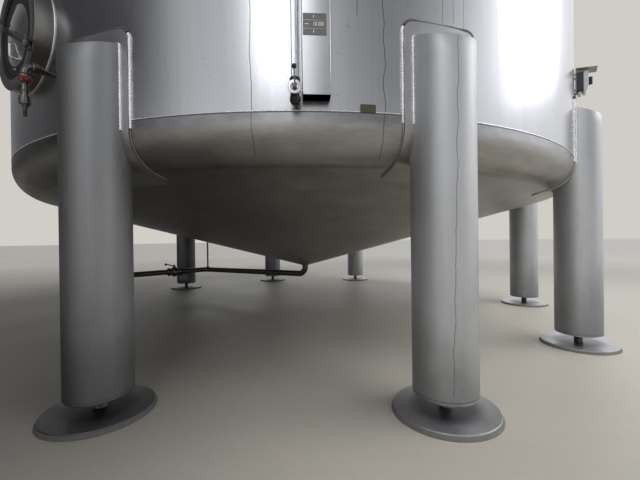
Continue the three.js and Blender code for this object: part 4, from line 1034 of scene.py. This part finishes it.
class TANK_OT_manway(bpy.types.Operator):
    """Neck, gasket, domed door, slanting bar and clamp screw"""

    bl_idname = "tank.build_manway"
    bl_label = "Manway"

    def execute(self, context):
        v, m = context.scene.tank_vessel, context.scene.tank_manway
        place = lambda shape: stationed(shape, m.azimuth, m.height)
        tilt = math.degrees(m.tilt)
        root = v.radius - 0.012
        ring = np.concatenate([
            [(m.neck - 0.005, 0), (m.neck, 0)],
            soften([(m.neck, root + 0.02), (m.neck, m.face), (0.204, m.face), (0.204, 2.3027),
                    (0.17, 2.3027), (0.17, 2.292), (m.neck - 0.005, 2.292)], 0.003, 3, False),
        ])
        neck = outward(revolve(ring, 128, True))
        points = neck[0]
        rooted = points[:, 0] < 1
        points[rooted, 0] = np.sqrt(root**2 - points[rooted, 1] ** 2)
        fork = soften([(m.face - 0.001, -0.017), (m.face + 0.032, -0.017), (m.face + 0.032, 0.017),
                       (m.face - 0.001, 0.017)], [0.0005, 0.009, 0.009, 0.0005], 4)
        forks = []
        for along in (-0.245, 0.245):
            for across in (-0.0255, 0.0175):
                forks.append(shifted(plate(fork, across, across + 0.008), y=along))
        pin = joined(rod(0.006, -0.0255, 0.0255), rod(0.009, 0.0256, 0.031, steps=6))
        forks.append(shifted(pin, x=2.348, y=0.245))
        forks = marked(turned(joined(*forks), "X", tilt), 1)
        dress("manway_neck", place(joined(neck, forks)), ["neck", "dark_metal"], "polished")

        a = np.linspace(0, TAU, 241)
        y, z = (m.neck + 0.002) * np.cos(a), (m.neck + 0.002) * np.sin(a)
        weld = np.stack([np.sqrt((v.radius + 0.001) ** 2 - y**2), y, z], 1)
        piece("manway_weld", place(bead(weld, 0.0036, (1, 0, 0), 4, 0.011, True, swell=0.25)),
              "fittings", "polished", crease=80)

        lip = soften([(0.171, 2.303), (0.171, 2.3117), (0.19, 2.3117), (0.19, 2.322),
                      (0.2037, 2.322), (0.2037, 2.303)], 0.0022, 3)[::-1]
        dress("manway_gasket", place(outward(revolve(lip, 128, True))), "gasket", "gasket")

        share = np.linspace(0, 1, 17)
        dome = np.stack([0.140 * share, 2.318 + 0.018 * np.cos(share * math.pi / 2)], 1)
        hollow = np.stack([0.136 * share, 2.314 + 0.018 * np.cos(share * math.pi / 2)], 1)
        rim = spun([hollow[-1], (0.136, 2.312), (0.184, 2.312), (0.184, 2.318), dome[-1]],
                   0.0015, 2, 128, mark=2)
        door = outward(joined(revolve(hollow, 128), rim, revolve(dome[::-1], 128)))
        x = 2.345
        grip = bent([(x - 0.025, 0, -0.046), (x, 0, -0.046), (x, 0, -0.112),
                     (x - 0.027, 0, -0.112)], 0.008, 6)
        grip = marked(sweep(resampled(grip, 0.003)[0], 0.0045, 14, (0, 1, 0)), 1)
        bolt = outward(joined(rod(0.0075, 2.318, 2.323), rod(0.0055, 2.323, 2.328, steps=6)))
        bolt = marked(shifted(bolt, y=-0.02, z=-0.155), 1)
        dress("manway_door", place(joined(door, grip, bolt)), ["polished", "fittings", "gasket"],
              "polished", "door")

        bar = soften([(2.342, -0.251), (2.354, -0.251), (2.354, 0.238), (2.342, 0.238)], 0.003, 3)
        bar = plate(bar, -0.0125, 0.0125, 0.0025)
        collar = spun([(0.011, -0.0125), (0.011, 0.0125), (0.0063, 0.0125), (0.0063, -0.0125)],
                      0.001, 2, 32, True)
        bar = turned(joined(bar, shifted(collar, x=2.348, y=0.245)), "X", tilt)
        boss = outward(spun([(0.0195, 2.3535), (0.0195, 2.3548), (0.0083, 2.3548),
                             (0.0083, 2.3535)], 0.0004, 2, 40, True))
        dress("manway_crossbar", place(joined(bar, boss)), "dark_metal", "dark_metal", "door")

        z = np.linspace(2.3363, 2.3548, 61)
        stem = threaded(z, z[0], 0.0077, 0.0003, 0.002, 28)
        head = spun([(0, 2.3549), (0.015, 2.3549), (0.015, 2.3723), (0, 2.3723)], 0.0016, 3, 6)
        screw = outward(joined(stem, head))
        dress("manway_hand_screw", place(screw), "dark_metal", "dark_metal", "hand_screw",
              crease=30)
        return {"FINISHED"}


# ---- Level gauge ----


class TANK_OT_gauge(bpy.types.Operator):
    """Level glass with its cocks and lever, scale channel and tag"""

    bl_idname = "tank.build_gauge"
    bl_label = "Level Gauge"

    def execute(self, context):
        v, g = context.scene.tank_vessel, context.scene.tank_gauge
        x = v.radius + g.standoff
        for name, height, way in (("lower", g.low, 1), ("upper", g.high, -1)):
            barrel = spun([
                (0, -0.047), (0.015, -0.047), (0.015, -0.041), (0.019, -0.039), (0.019, -0.022),
                (0.0165, -0.020), (0.0165, 0.016), (0.019, 0.018), (0.019, 0.043),
                (0.017, 0.047), (0.0143, 0.047), (0.0143, 0.02), (0, 0.02),
            ], 0.0012, 2, 36)
            barrel = shifted(scaled(barrel, [1, 1, way]), x=x)
            back = v.radius - 0.001
            flange = [(0, back), (0.022, back), (0.022, back + 0.006), (0, back + 0.006)]
            stub = outward(joined(rod(0.010, back, x), spun(flange, 0.001, 2, 32)))
            cap = outward(joined(
                rod(0.014, x, 2.3525),
                spun([(0, 2.3515), (0.0245, 2.3515), (0.0247, 2.3585), (0.0150, 2.3597),
                      (0.0125, 2.3575), (0, 2.3575)], 0.0007, 2, 48),
            ))
            shape = stationed(joined(marked(barrel, 1), stub, cap), g.azimuth, height)
            dress(f"gauge_{name}_cock", shape, ["fittings", "gasket"], "fittings")
        low, high = g.low + 0.0203, g.high - 0.0203
        tube = spun([(0.014, low), (0.014, high), (0.0115, high), (0.0115, low)],
                    0.0006, 1, 32, True)
        tube = stationed(shifted(tube, x=x), g.azimuth)
        dress("gauge_glass", tube, "gauge_glass", "gauge_glass")
        lever_x = v.radius + 0.0903
        boss = outward(rod(0.0085, lever_x, lever_x + 0.0117, 0.0015))
        arm = [(lever_x + 0.008, 0, 0.004), (lever_x + 0.008, 0, 0.062)]
        arm = sweep(resampled(arm, 0.01)[0], 0.003, 12, (1, 0, 0))
        lever = joined(boss, arm, shifted(ball(0.009, 0.065, 1), x=lever_x + 0.008))
        dress("gauge_cock_lever", stationed(lever, g.azimuth, g.low), ["satin", "black_plastic"],
              "black_plastic", "gauge_lever")

        half, face = g.scale_width / 2, v.radius + g.scale_depth
        foot = math.sqrt((v.radius + GAP) ** 2 - half**2)
        thin = 0.003
        outline = [(foot, -half), (face, -half), (face, half), (foot, half), (foot, half - thin),
                   (face - thin, half - thin), (face - thin, thin - half), (foot, thin - half)]
        outline = soften(outline, [0, 0.005, 0.005, 0, 0, 0.0025, 0.0025, 0], 3)
        bottom, top = 1.216, 7.060
        channel = plate(outline, bottom, top, 0.0003)
        dress("scale_channel", stationed(channel, g.scale_azimuth), "pads", "fittings", crease=30)
        labels, at, pitch = [], 1.467, 0.617
        for thousands in range(10, 100, 10):
            for low, high in ((-0.040, -0.0163), (-0.0143, 0.0143), (0.0163, 0.039)):
                card = plate(rectangle(0.085, high - low, 0.0015), 0.0001, 0.001, 0.0002)
                labels.append(shifted(card, x=-0.005, y=at + (low + high) / 2))
            for x, y, wide, tall in ((-0.034, 0, 0.014, 0.0022), (-0.009, -0.027, 0.0022, 0.009),
                                     (-0.009, 0.027, 0.0022, 0.009)):
                tick = plate(rectangle(wide, tall, 0.0003), 0.0009, 0.0013, 0.0001, mark=1)
                labels.append(shifted(tick, x=x, y=at + y))
            figures = marked(lettering(f"{thousands} 000", 0.0215, 0.0002), 1)
            labels.append(shifted(scaled(figures, [0.68, 1, 1]), x=0.009, y=at, z=0.0011))
            at += pitch
        labels = shifted(outward(joined(*labels)), x=face)
        piece("scale_labels", stationed(labels, g.scale_azimuth), ["label", "figures"], "fittings",
              crease=30)
        tag = plate(rectangle(0.061, 0.031, 0.003), 0, 0.0026, 0.0005)
        rivets = [shifted(rod(0.0022, 0.0024, 0.0029, 0.0004, 12), x=k * 0.025) for k in (-1, 1)]
        tag = shifted(outward(joined(tag, *rivets)), x=v.radius + GAP)
        dress("tag_plate", stationed(tag, g.tag_azimuth, 1.193), "tag", "tag")
        return {"FINISHED"}


# ---- Sampling valve and isolator ----


class TANK_OT_fittings(bpy.types.Operator):
    """Sampling valve and isolator switch"""

    bl_idname = "tank.build_fittings"
    bl_label = "Sampling Valve and Isolator"

    def execute(self, context):
        self.sampling_valve(context)
        self.isolator(context)
        return {"FINISHED"}

    def sampling_valve(self, context):
        v, s = context.scene.tank_vessel, context.scene.tank_fittings
        r, x = v.radius, v.radius + 0.146
        place = lambda shape: stationed(shape, s.sample_azimuth)
        high = s.sample_height
        run = joined(
            rod(0.0105, r - 0.004, r + 0.102),
            spun([(0, r + 0.0005), (0.017, r + 0.0005), (0.012, r + 0.006), (0, r + 0.006)],
                 0.002, 3, 32),
            spun([(0, r + 0.082), (0.017, r + 0.082), (0.017, r + 0.098), (0, r + 0.098)],
                 0.0015, 2, 6),
            spun([(0, r + 0.102), (0.0195, r + 0.102), (0.021, r + 0.108), (0.021, r + 0.120),
                  (0.0195, r + 0.126), (0, r + 0.126)], 0.0025, 3, 36),
        )
        elbow = bent([(r + 0.102, 0, 0), (x, 0, 0), (x, 0, 1.3643 - high)], 0.034)
        elbow = sweep(resampled(elbow, 0.004)[0], 0.015, 24, (0, 1, 0))
        dress("sample_pipe", place(shifted(joined(outward(run), elbow), z=high)), "satin",
              "fittings")
        body = shifted(spun([
            (0, 1.196), (0.0045, 1.196), (0.0055, 1.222), (0.0145, 1.243), (0.019, 1.243),
            (0.019, 1.274), (0.0125, 1.274), (0.0125, 1.296), (0.0155, 1.296), (0.0155, 1.302),
            (0.0125, 1.302), (0.0125, 1.324), (0.02, 1.331), (0.02, 1.357), (0.015, 1.364),
            (0, 1.364),
        ], 0.0012, 2, 36), x=x)
        knurls = spun([(0.0192, 1.2465), (0.0192, 1.2705), (0.017, 1.2705), (0.017, 1.2465)],
                      0.0005, 1, 48, True)
        knurls = shifted(knurls, x=x)
        # 24 shallow flutes round the knurled ring
        ridge = np.hypot(knurls[0][:, 0] - x, knurls[0][:, 1])
        turn = np.arctan2(knurls[0][:, 1], knurls[0][:, 0] - x)
        scale = (ridge - 0.0006 * (np.cos(24 * turn) < 0)) / ridge
        knurls[0][:, 0] = x + (knurls[0][:, 0] - x) * scale
        knurls[0][:, 1] *= scale
        stem = joined(rod(0.008, 0, 0.026), rod(0.011, 0.016, 0.021))
        stem = shifted(turned(stem, "X", -90), x=x, z=1.336)
        tip = marked(shifted(rod(0.0062, 1.1965, 1.2215, 0.001), x=x), 1)
        dress("sample_valve", place(joined(body, knurls, stem, tip)), ["satin", "black_plastic"],
              "fittings")
        lever = shifted(plate(rectangle(0.044, 0.017, 0.006), 0.0263, 0.0313, 0.0012), x=0.007)
        nut = marked(rod(0.0065, 0.0305, 0.0345, 0.0008, 6), 1)
        lever = shifted(turned(joined(lever, nut), "X", -90), x=x, z=1.336)
        dress("sample_valve_lever", place(lever), ["red_plastic", "satin"], "red_plastic",
              "sample_lever")

    def isolator(self, context):
        v, s = context.scene.tank_vessel, context.scene.tank_fittings
        place = lambda shape: stationed(shape, s.switch_azimuth)
        z, back = s.switch_height, v.radius + 0.010
        top, rear = z + 0.088, back - 0.0033
        fall, thin = math.tan(s.canopy_slope), 0.003
        tip, drop = rear + 0.112 * math.cos(s.canopy_slope), 0.112 * math.sin(s.canopy_slope)
        bracket = [(rear, top - 0.186), (rear + thin, top - 0.186), (rear + thin, top - 0.0035),
                   (tip - thin * fall, top - drop - thin), (tip, top - drop), (rear, top)]
        bracket = soften(bracket, [0, 0, 0.002, 0.0004, 0.0004, 0.003], 4)
        canopy = crosswise(plate(bracket, -0.049, 0.049, 0.0004))
        studs = []
        for y in (-0.036, 0.036):
            for rise in (-0.05, 0.05):
                foot = math.sqrt((v.radius + GAP) ** 2 - y**2) + GAP
                studs.append(shifted(outward(rod(0.008, foot, back - 0.001)), y=y, z=z + rise))
        dress("isolator_canopy", place(joined(canopy, *studs)), "ends", "fittings", crease=30)
        base = plate(rectangle(0.068, 0.126, 0.008, 5), back, back + 0.0355, 0.0015)
        base = shifted(outward(base), z=z)
        gland = spun([(0, -0.028), (0.008, -0.028), (0.011, -0.014), (0.014, -0.012),
                      (0.014, 0.002), (0, 0.002)], 0.0012, 2, 24, mark=1)
        gland = shifted(gland, x=back + 0.01775, y=-0.014, z=z - 0.063)
        dress("isolator_base", place(joined(base, gland)), ["slate_plastic", "grey_plastic"],
              "slate_plastic")
        near = back + 0.0358
        side = soften([(near, -0.073), (near + 0.0135, -0.073), (near + 0.027, -0.033),
                       (near + 0.027, 0.061), (near, 0.061)],
                      [0.001, 0.004, 0.006, 0.005, 0.001], 4)
        cover = shifted(crosswise(plate(side, -0.036, 0.036, 0.003)), z=z)
        dress("isolator_cover", place(cover), "grey_plastic", "grey_plastic")
        front = near + 0.0273
        disc = spun([(0, front), (0.026, front), (0.025, front + 0.012), (0, front + 0.012)],
                    0.0018, 3, 48)
        handle = plate(rectangle(0.011, 0.049, 0.0045), front + 0.011, front + 0.021, 0.002)
        knob = shifted(outward(joined(disc, handle)), z=z + 0.003)
        dress("isolator_knob", place(knob), "black_plastic", "black_plastic", "switch_knob")


# ---- Outlet line ----


class TANK_OT_outlet(bpy.types.Operator):
    """Outlet pipe with its drain branch, hanger, valve, lever and spool"""

    bl_idname = "tank.build_outlet"
    bl_label = "Outlet Line"

    def execute(self, context):
        v, o = context.scene.tank_vessel, context.scene.tank_outlet
        corner, end = np.array([-1.280, 0.680, o.height]), np.array([-1.890, 0.100, o.height])
        run = end - corner
        whole, along = float(np.linalg.norm(run)), unit(run)
        centre = corner + 0.467 * run
        azimuth = math.atan2(along[1], along[0])

        def place(shape):
            return shifted(turned(shape, "Z", math.degrees(azimuth)), *centre)

        tip = cone_tip(v)
        foot = tip + o.radius * math.tan(v.slope)
        flange = 0.0623
        path = bent([(0, 0, foot), (0, 0, o.height), corner, centre - along * flange], o.bend, 14)
        pipe = sweep(path, o.radius, 32, (0.3, 0.2, 1))
        level = corner * [1, 1, 0]
        rings = [self.ring(at, way, o.radius) for at, way in (
            ((0, 0, foot - 0.002), (0, 0, 1)),
            ((0, 0, o.height + o.bend), (0, 0, 1)),
            (unit(level) * o.bend + [0, 0, o.height], level),
        )]
        back = -0.088
        branch = [(back, 0, -o.radius + 0.002), (back, 0, -0.078), (back, 0.05, -0.078)]
        branch = bent(branch, 0.030, 8)
        branch = sweep(resampled(branch, 0.004)[0], 0.022, 24, (1, 0, 0))
        disc = spun([(0, 0.0495), (0.031, 0.0495), (0.040, 0.0545), (0.040, 0.0705),
                     (0.031, 0.074), (0, 0.074)], 0.001, 2, 40)
        clamp = soften([(0.037, 0.051), (0.050, 0.0535), (0.050, 0.0705), (0.037, 0.073)],
                       0.002, 2)[::-1]
        ferrule = crosswise(joined(disc, revolve(clamp, 40, True, 1)))
        ferrule = shifted(scaled(ferrule, [1, -1, -1]), back, 0, -0.078)
        shape = joined(pipe, *rings, place(joined(branch, ferrule)))
        dress("outlet_pipe", shape, ["pipework", "dark_metal"], "pipework")

        hang = corner * 0.98
        reach = math.hypot(hang[0], hang[1])
        high = tip + (reach + 0.004) * math.tan(v.slope) - 0.001
        low = o.height + o.radius + 0.0006
        hanger = spun([(0, low), (0.022, low), (0.022, low + 0.005), (0.010, low + 0.006),
                       (0.010, high - 0.004), (0.016, high), (0, high)], 0.0008, 2, 20)
        dress("outlet_hanger", shifted(hanger, hang[0], hang[1]), "pipework", "pipework")

        half = [(0.0565, 0), (0.0565, 0.018), (0.052, 0.022), (0.036, 0.027), (0.035, 0.040),
                (0.047, 0.048), (0.047, 0.062), (0.027, 0.062)]
        body = soften([(r, -x) for r, x in half[::-1]] + half[1:], 0.002, 2)
        body = outward(revolve(body[::-1], 40, True))
        bolt = joined(rod(0.0042, -0.030, 0.030, steps=12), rod(0.0078, -0.0295, -0.0225, steps=6),
                      rod(0.0078, 0.0225, 0.0295, steps=6))
        bolt = shifted(outward(bolt), z=0.046)
        bolts = [turned(bolt, "X", degrees) for degrees in (45, 135, 225, 315)]
        bonnet = spun([(0, 0.045), (0.021, 0.045), (0.021, 0.058), (0.016, 0.0595),
                       (0.016, 0.064), (0, 0.064)], 0.001, 2, 28)
        dress("outlet_valve", place(joined(body, bonnet, *bolts)), "dark_metal", "dark_metal")

        low = 0.0643
        hub = rod(0.015, low, low + 0.016, 0.002)
        arm = soften([(0, 0, low + 0.008), (0.03, 0, low + 0.010), (0.075, 0, low + 0.026),
                      (0.095, 0, low + 0.026)], 0.01, 4, False)
        arm = sweep(resampled(arm, 0.004)[0], 0.0062, 14, (0, 1, 0))
        lever = place(joined(hub, arm, shifted(ball(0.014, low + 0.026, 1), x=0.095)))
        dress("outlet_valve_lever", lever, ["dark_metal", "black_plastic"], "black_plastic",
              "outlet_lever")

        start, stop = flange, whole * 0.533
        spool = [(0.027, start), (0.047, start), (0.047, start + 0.008), (o.radius, start + 0.014),
                 (o.radius, stop - 0.012), (0.046, stop - 0.006), (0.046, stop), (0.027, stop)]
        spool = outward(revolve(soften(spool, 0.0015, 2)[::-1], 40, True))
        dress("outlet_spool", place(spool), "pipework", "pipework")
        return {"FINISHED"}

    def ring(self, centre, way, radius):
        """A thin weld round a pipe, square to its way."""
        way = unit(way)
        side = unit(np.cross(way, [0.2, 0.9, 0.3]))
        a = np.linspace(0, TAU, 97)[:-1, None]
        circle = side * np.cos(a) + np.cross(way, side) * np.sin(a)
        return sweep(np.asarray(centre) + (radius + 0.0003) * circle, 0.0022, 8, way, True)


# ---- Stage ----

# Strength of the room's light by azimuth in degrees, from the left round by the front to the
# right: near the horizon, and higher up
HORIZON = [(180, 0.06), (205, 0.12), (218, 0.38), (232, 0.90), (255, 1.15), (275, 0.92),
           (290, 0.66), (305, 0.48), (318, 0.50), (335, 0.98), (360, 1.20), (382, 0.95),
           (418, 1.2), (455, 0.6), (490, 0.4), (515, 0.12), (539, 0.06)]
UPPER = [(180, 0.06), (212, 0.05), (221, 0.26), (230, 0.75), (252, 0.68), (268, 0.72), (279, 0.56),
         (288, 0.36), (300, 0.25), (312, 0.27), (328, 0.66), (345, 1.45), (366, 1.45), (385, 0.95),
         (425, 0.90), (455, 0.60), (490, 0.45), (515, 0.20), (539, 0.06)]


class TANK_OT_stage(bpy.types.Operator):
    """Floor, surroundings, soft lights and camera"""

    bl_idname = "tank.build_stage"
    bl_label = "Stage"

    def execute(self, context):
        s = context.scene.tank_stage
        self.floor(s)
        self.surroundings(context, s)
        self.panel(context, (5.9, -1.5, 4.3), (1.2, -1.9, 1.4), 2.5, 2.4, 2.6)
        self.panel(context, (-0.45, -5.9, 4.25), (0.0, -2.3, 1.5), 1.15, 2.3, 3.6)
        self.panel(context, (4.6, -3.6, 6.8), (2.4, -2.8, 0.0), 5.0, 3.6, 4.0, False)
        self.panel(context, (-2.4, 6.4, 4.2), (0.0, 2.2, 1.8), 2.2, 3.2, 2.6)
        camera = bpy.data.cameras.new("camera")
        camera.lens = s.lens
        camera.sensor_width = 36
        obj = bpy.data.objects.new("camera", camera)
        obj.location = (CAMERA_X, CAMERA_Y, s.camera_height)
        obj.rotation_euler = (math.pi / 2 + CAMERA_TILT, CAMERA_ROLL, 0)
        context.scene.collection.objects.link(obj)
        context.scene.camera = obj
        context.scene.view_settings.view_transform = "Standard"
        return {"FINISHED"}

    def floor(self, s):
        """A round floor with painted shade, darker towards the tank's left, and painted light that
        makes it brighter far from it.
        """
        f = Finish("floor", s.floor, 0.0, 0.5)
        patches = f.noise(0.7, 6, 0.6)
        fine = f.noise(25, 3, 0.6)
        base = f.times(s.floor, f.tint(patches, 0.9, 1.08))
        # Painted shade towards the tank's left; painted light brightens the floor far from the tank
        shade = f.product(f.span(f.x, -1.2, 0.3, 0.36, 1, True), f.span(f.x, 0.3, 1.7, 1, 1.2))
        away = f.put("ShaderNodeVectorMath", {0: f.place}, "Value", operation="LENGTH")
        shade = f.mix(f.span(away, 3.0, 6.0, smooth=True), f.grey(shade), (1.1, 1.1, 1.1))
        shade = f.mix(f.span(away, 5.0, 11.0, smooth=True), shade, (1.9, 1.93, 2.0))
        base = f.times(base, shade)
        f.give("Base Color", f.times(base, f.tint(fine, 0.97, 1.03)))
        f.roughen(patches, 0.42, 0.6)
        radius = np.concatenate([[0.0], np.geomspace(4, 90, 12)])
        points, faces, _ = revolve(np.stack([radius, np.zeros(13)], 1), 48)
        mesh = bpy.data.meshes.new("floor")
        mesh.from_pydata(points.tolist(), [], faces[0][:, ::-1].tolist())
        mesh.materials.append(f.material)
        obj = bpy.data.objects.new("floor", mesh)
        bpy.context.scene.collection.objects.link(obj)

    def surroundings(self, context, s):
        """Plain backdrop for the camera; for light, a soft room: round the horizon the strength
        follows a ramp over the azimuth, higher up another one, and then an even ceiling."""
        world = bpy.data.worlds.new("surroundings")
        world.use_nodes = True
        context.scene.world = world
        tree = world.node_tree
        tree.nodes.clear()

        def put(kind, inputs=None, out=0, **settings):
            return add_node(tree, kind, inputs, out, **settings)

        place = put("ShaderNodeTexCoord", out="Generated")
        x, y, z = put("ShaderNodeSeparateXYZ", {0: place}, None).outputs
        turn = put("ShaderNodeMath", {0: y, 1: x}, operation="ARCTAN2")
        share = put("ShaderNodeMath", {0: turn, 1: 1 / TAU, 2: 0.5}, operation="MULTIPLY_ADD")
        ramps = []
        for room in (HORIZON, UPPER):
            ramp = put("ShaderNodeValToRGB", {0: share}, None)
            stops = ramp.color_ramp.elements
            for degrees, strength in room:
                at = ((degrees + 180) % 360) / 360
                ends = {room[0][0]: stops[0], room[-1][0]: stops[-1]}
                stop = ends[degrees] if degrees in ends else stops.new(at)
                stop.color = (strength / 2, strength / 2, strength / 2, 1)
            ramps.append(ramp.outputs[0])

        def between(low, high, under, over):
            """One colour up to a height in the sky, and over a soft step another one."""
            inputs = {0: z, 1: low, 2: high}
            part = put("ShaderNodeMapRange", inputs, interpolation_type="SMOOTHSTEP")
            return put("ShaderNodeMix", {0: part, 6: under, 7: over}, 2, data_type="RGBA")

        ceiling = (s.ceiling / 2, s.ceiling / 2, s.ceiling / 2, 1)
        room = between(0.5, 0.9, between(0.22, 0.42, *ramps), ceiling)
        lit = put("ShaderNodeBackground", {"Color": room, "Strength": 2 * s.room})
        seen = put("ShaderNodeBackground", {"Color": (*s.backdrop, 1)})
        ray = put("ShaderNodeLightPath", out="Is Camera Ray")
        blend = put("ShaderNodeMixShader", {0: ray, 1: lit, 2: seen})
        put("ShaderNodeOutputWorld", {"Surface": blend}, None)

    def panel(self, context, place, target, wide, tall, radiance, glossy=True):
        """A soft light of a width and height that faces its target, hidden from the camera."""
        light = bpy.data.lights.new("panel", "AREA")
        light.shape = "RECTANGLE"
        light.size, light.size_y = wide, tall
        light.energy = radiance * math.pi * wide * tall
        obj = bpy.data.objects.new("panel", light)
        aim = np.array(target, float) - np.array(place, float)
        side = unit(np.cross(aim, [0, 0, 1]))
        up = np.cross(side, unit(aim))
        axes = np.stack([side, up, -unit(aim)], 1)
        rows = [[*row, at] for row, at in zip(axes, place)]
        obj.matrix_world = Matrix(rows + [[0, 0, 0, 1]])
        obj.visible_camera = False
        obj.visible_glossy = glossy
        context.scene.collection.objects.link(obj)


# ---- Add-on ----


class TANK_PT_panel(bpy.types.Panel):
    """A button for each group of pieces, and the settings below"""

    bl_label = "Vertical Storage Tank"
    bl_space_type = "VIEW_3D"
    bl_region_type = "UI"
    bl_category = "Tank"

    def draw(self, context):
        for operator in BUILDERS:
            self.layout.operator(operator.bl_idname)
        for key in SETTINGS:
            group = getattr(context.scene, key)
            box = self.layout.box()
            for field in group.bl_rna.properties:
                if not field.is_readonly and field.identifier != "name":
                    box.prop(group, field.identifier)


BUILDERS = (
    TANK_OT_stage, TANK_OT_shell, TANK_OT_legs, TANK_OT_manway, TANK_OT_gauge, TANK_OT_fittings,
    TANK_OT_outlet,
)
SETTINGS = {
    "tank_vessel": TankVesselSettings,
    "tank_legs": TankLegSettings,
    "tank_manway": TankManwaySettings,
    "tank_gauge": TankGaugeSettings,
    "tank_fittings": TankFittingSettings,
    "tank_outlet": TankOutletSettings,
    "tank_finish": TankFinishSettings,
    "tank_stage": TankStageSettings,
}


def register():
    for key, group in SETTINGS.items():
        bpy.utils.register_class(group)
        setattr(bpy.types.Scene, key, bpy.props.PointerProperty(type=group))
    for operator in BUILDERS:
        bpy.utils.register_class(operator)
    bpy.utils.register_class(TANK_PT_panel)


def unregister():
    bpy.utils.unregister_class(TANK_PT_panel)
    for operator in reversed(BUILDERS):
        bpy.utils.unregister_class(operator)
    for key, group in reversed(SETTINGS.items()):
        delattr(bpy.types.Scene, key)
        bpy.utils.unregister_class(group)


def main():
    register()
    for operator in BUILDERS:
        group, name = operator.bl_idname.split(".")
        getattr(getattr(bpy.ops, group), name)()


if __name__ == "__main__":
    main()
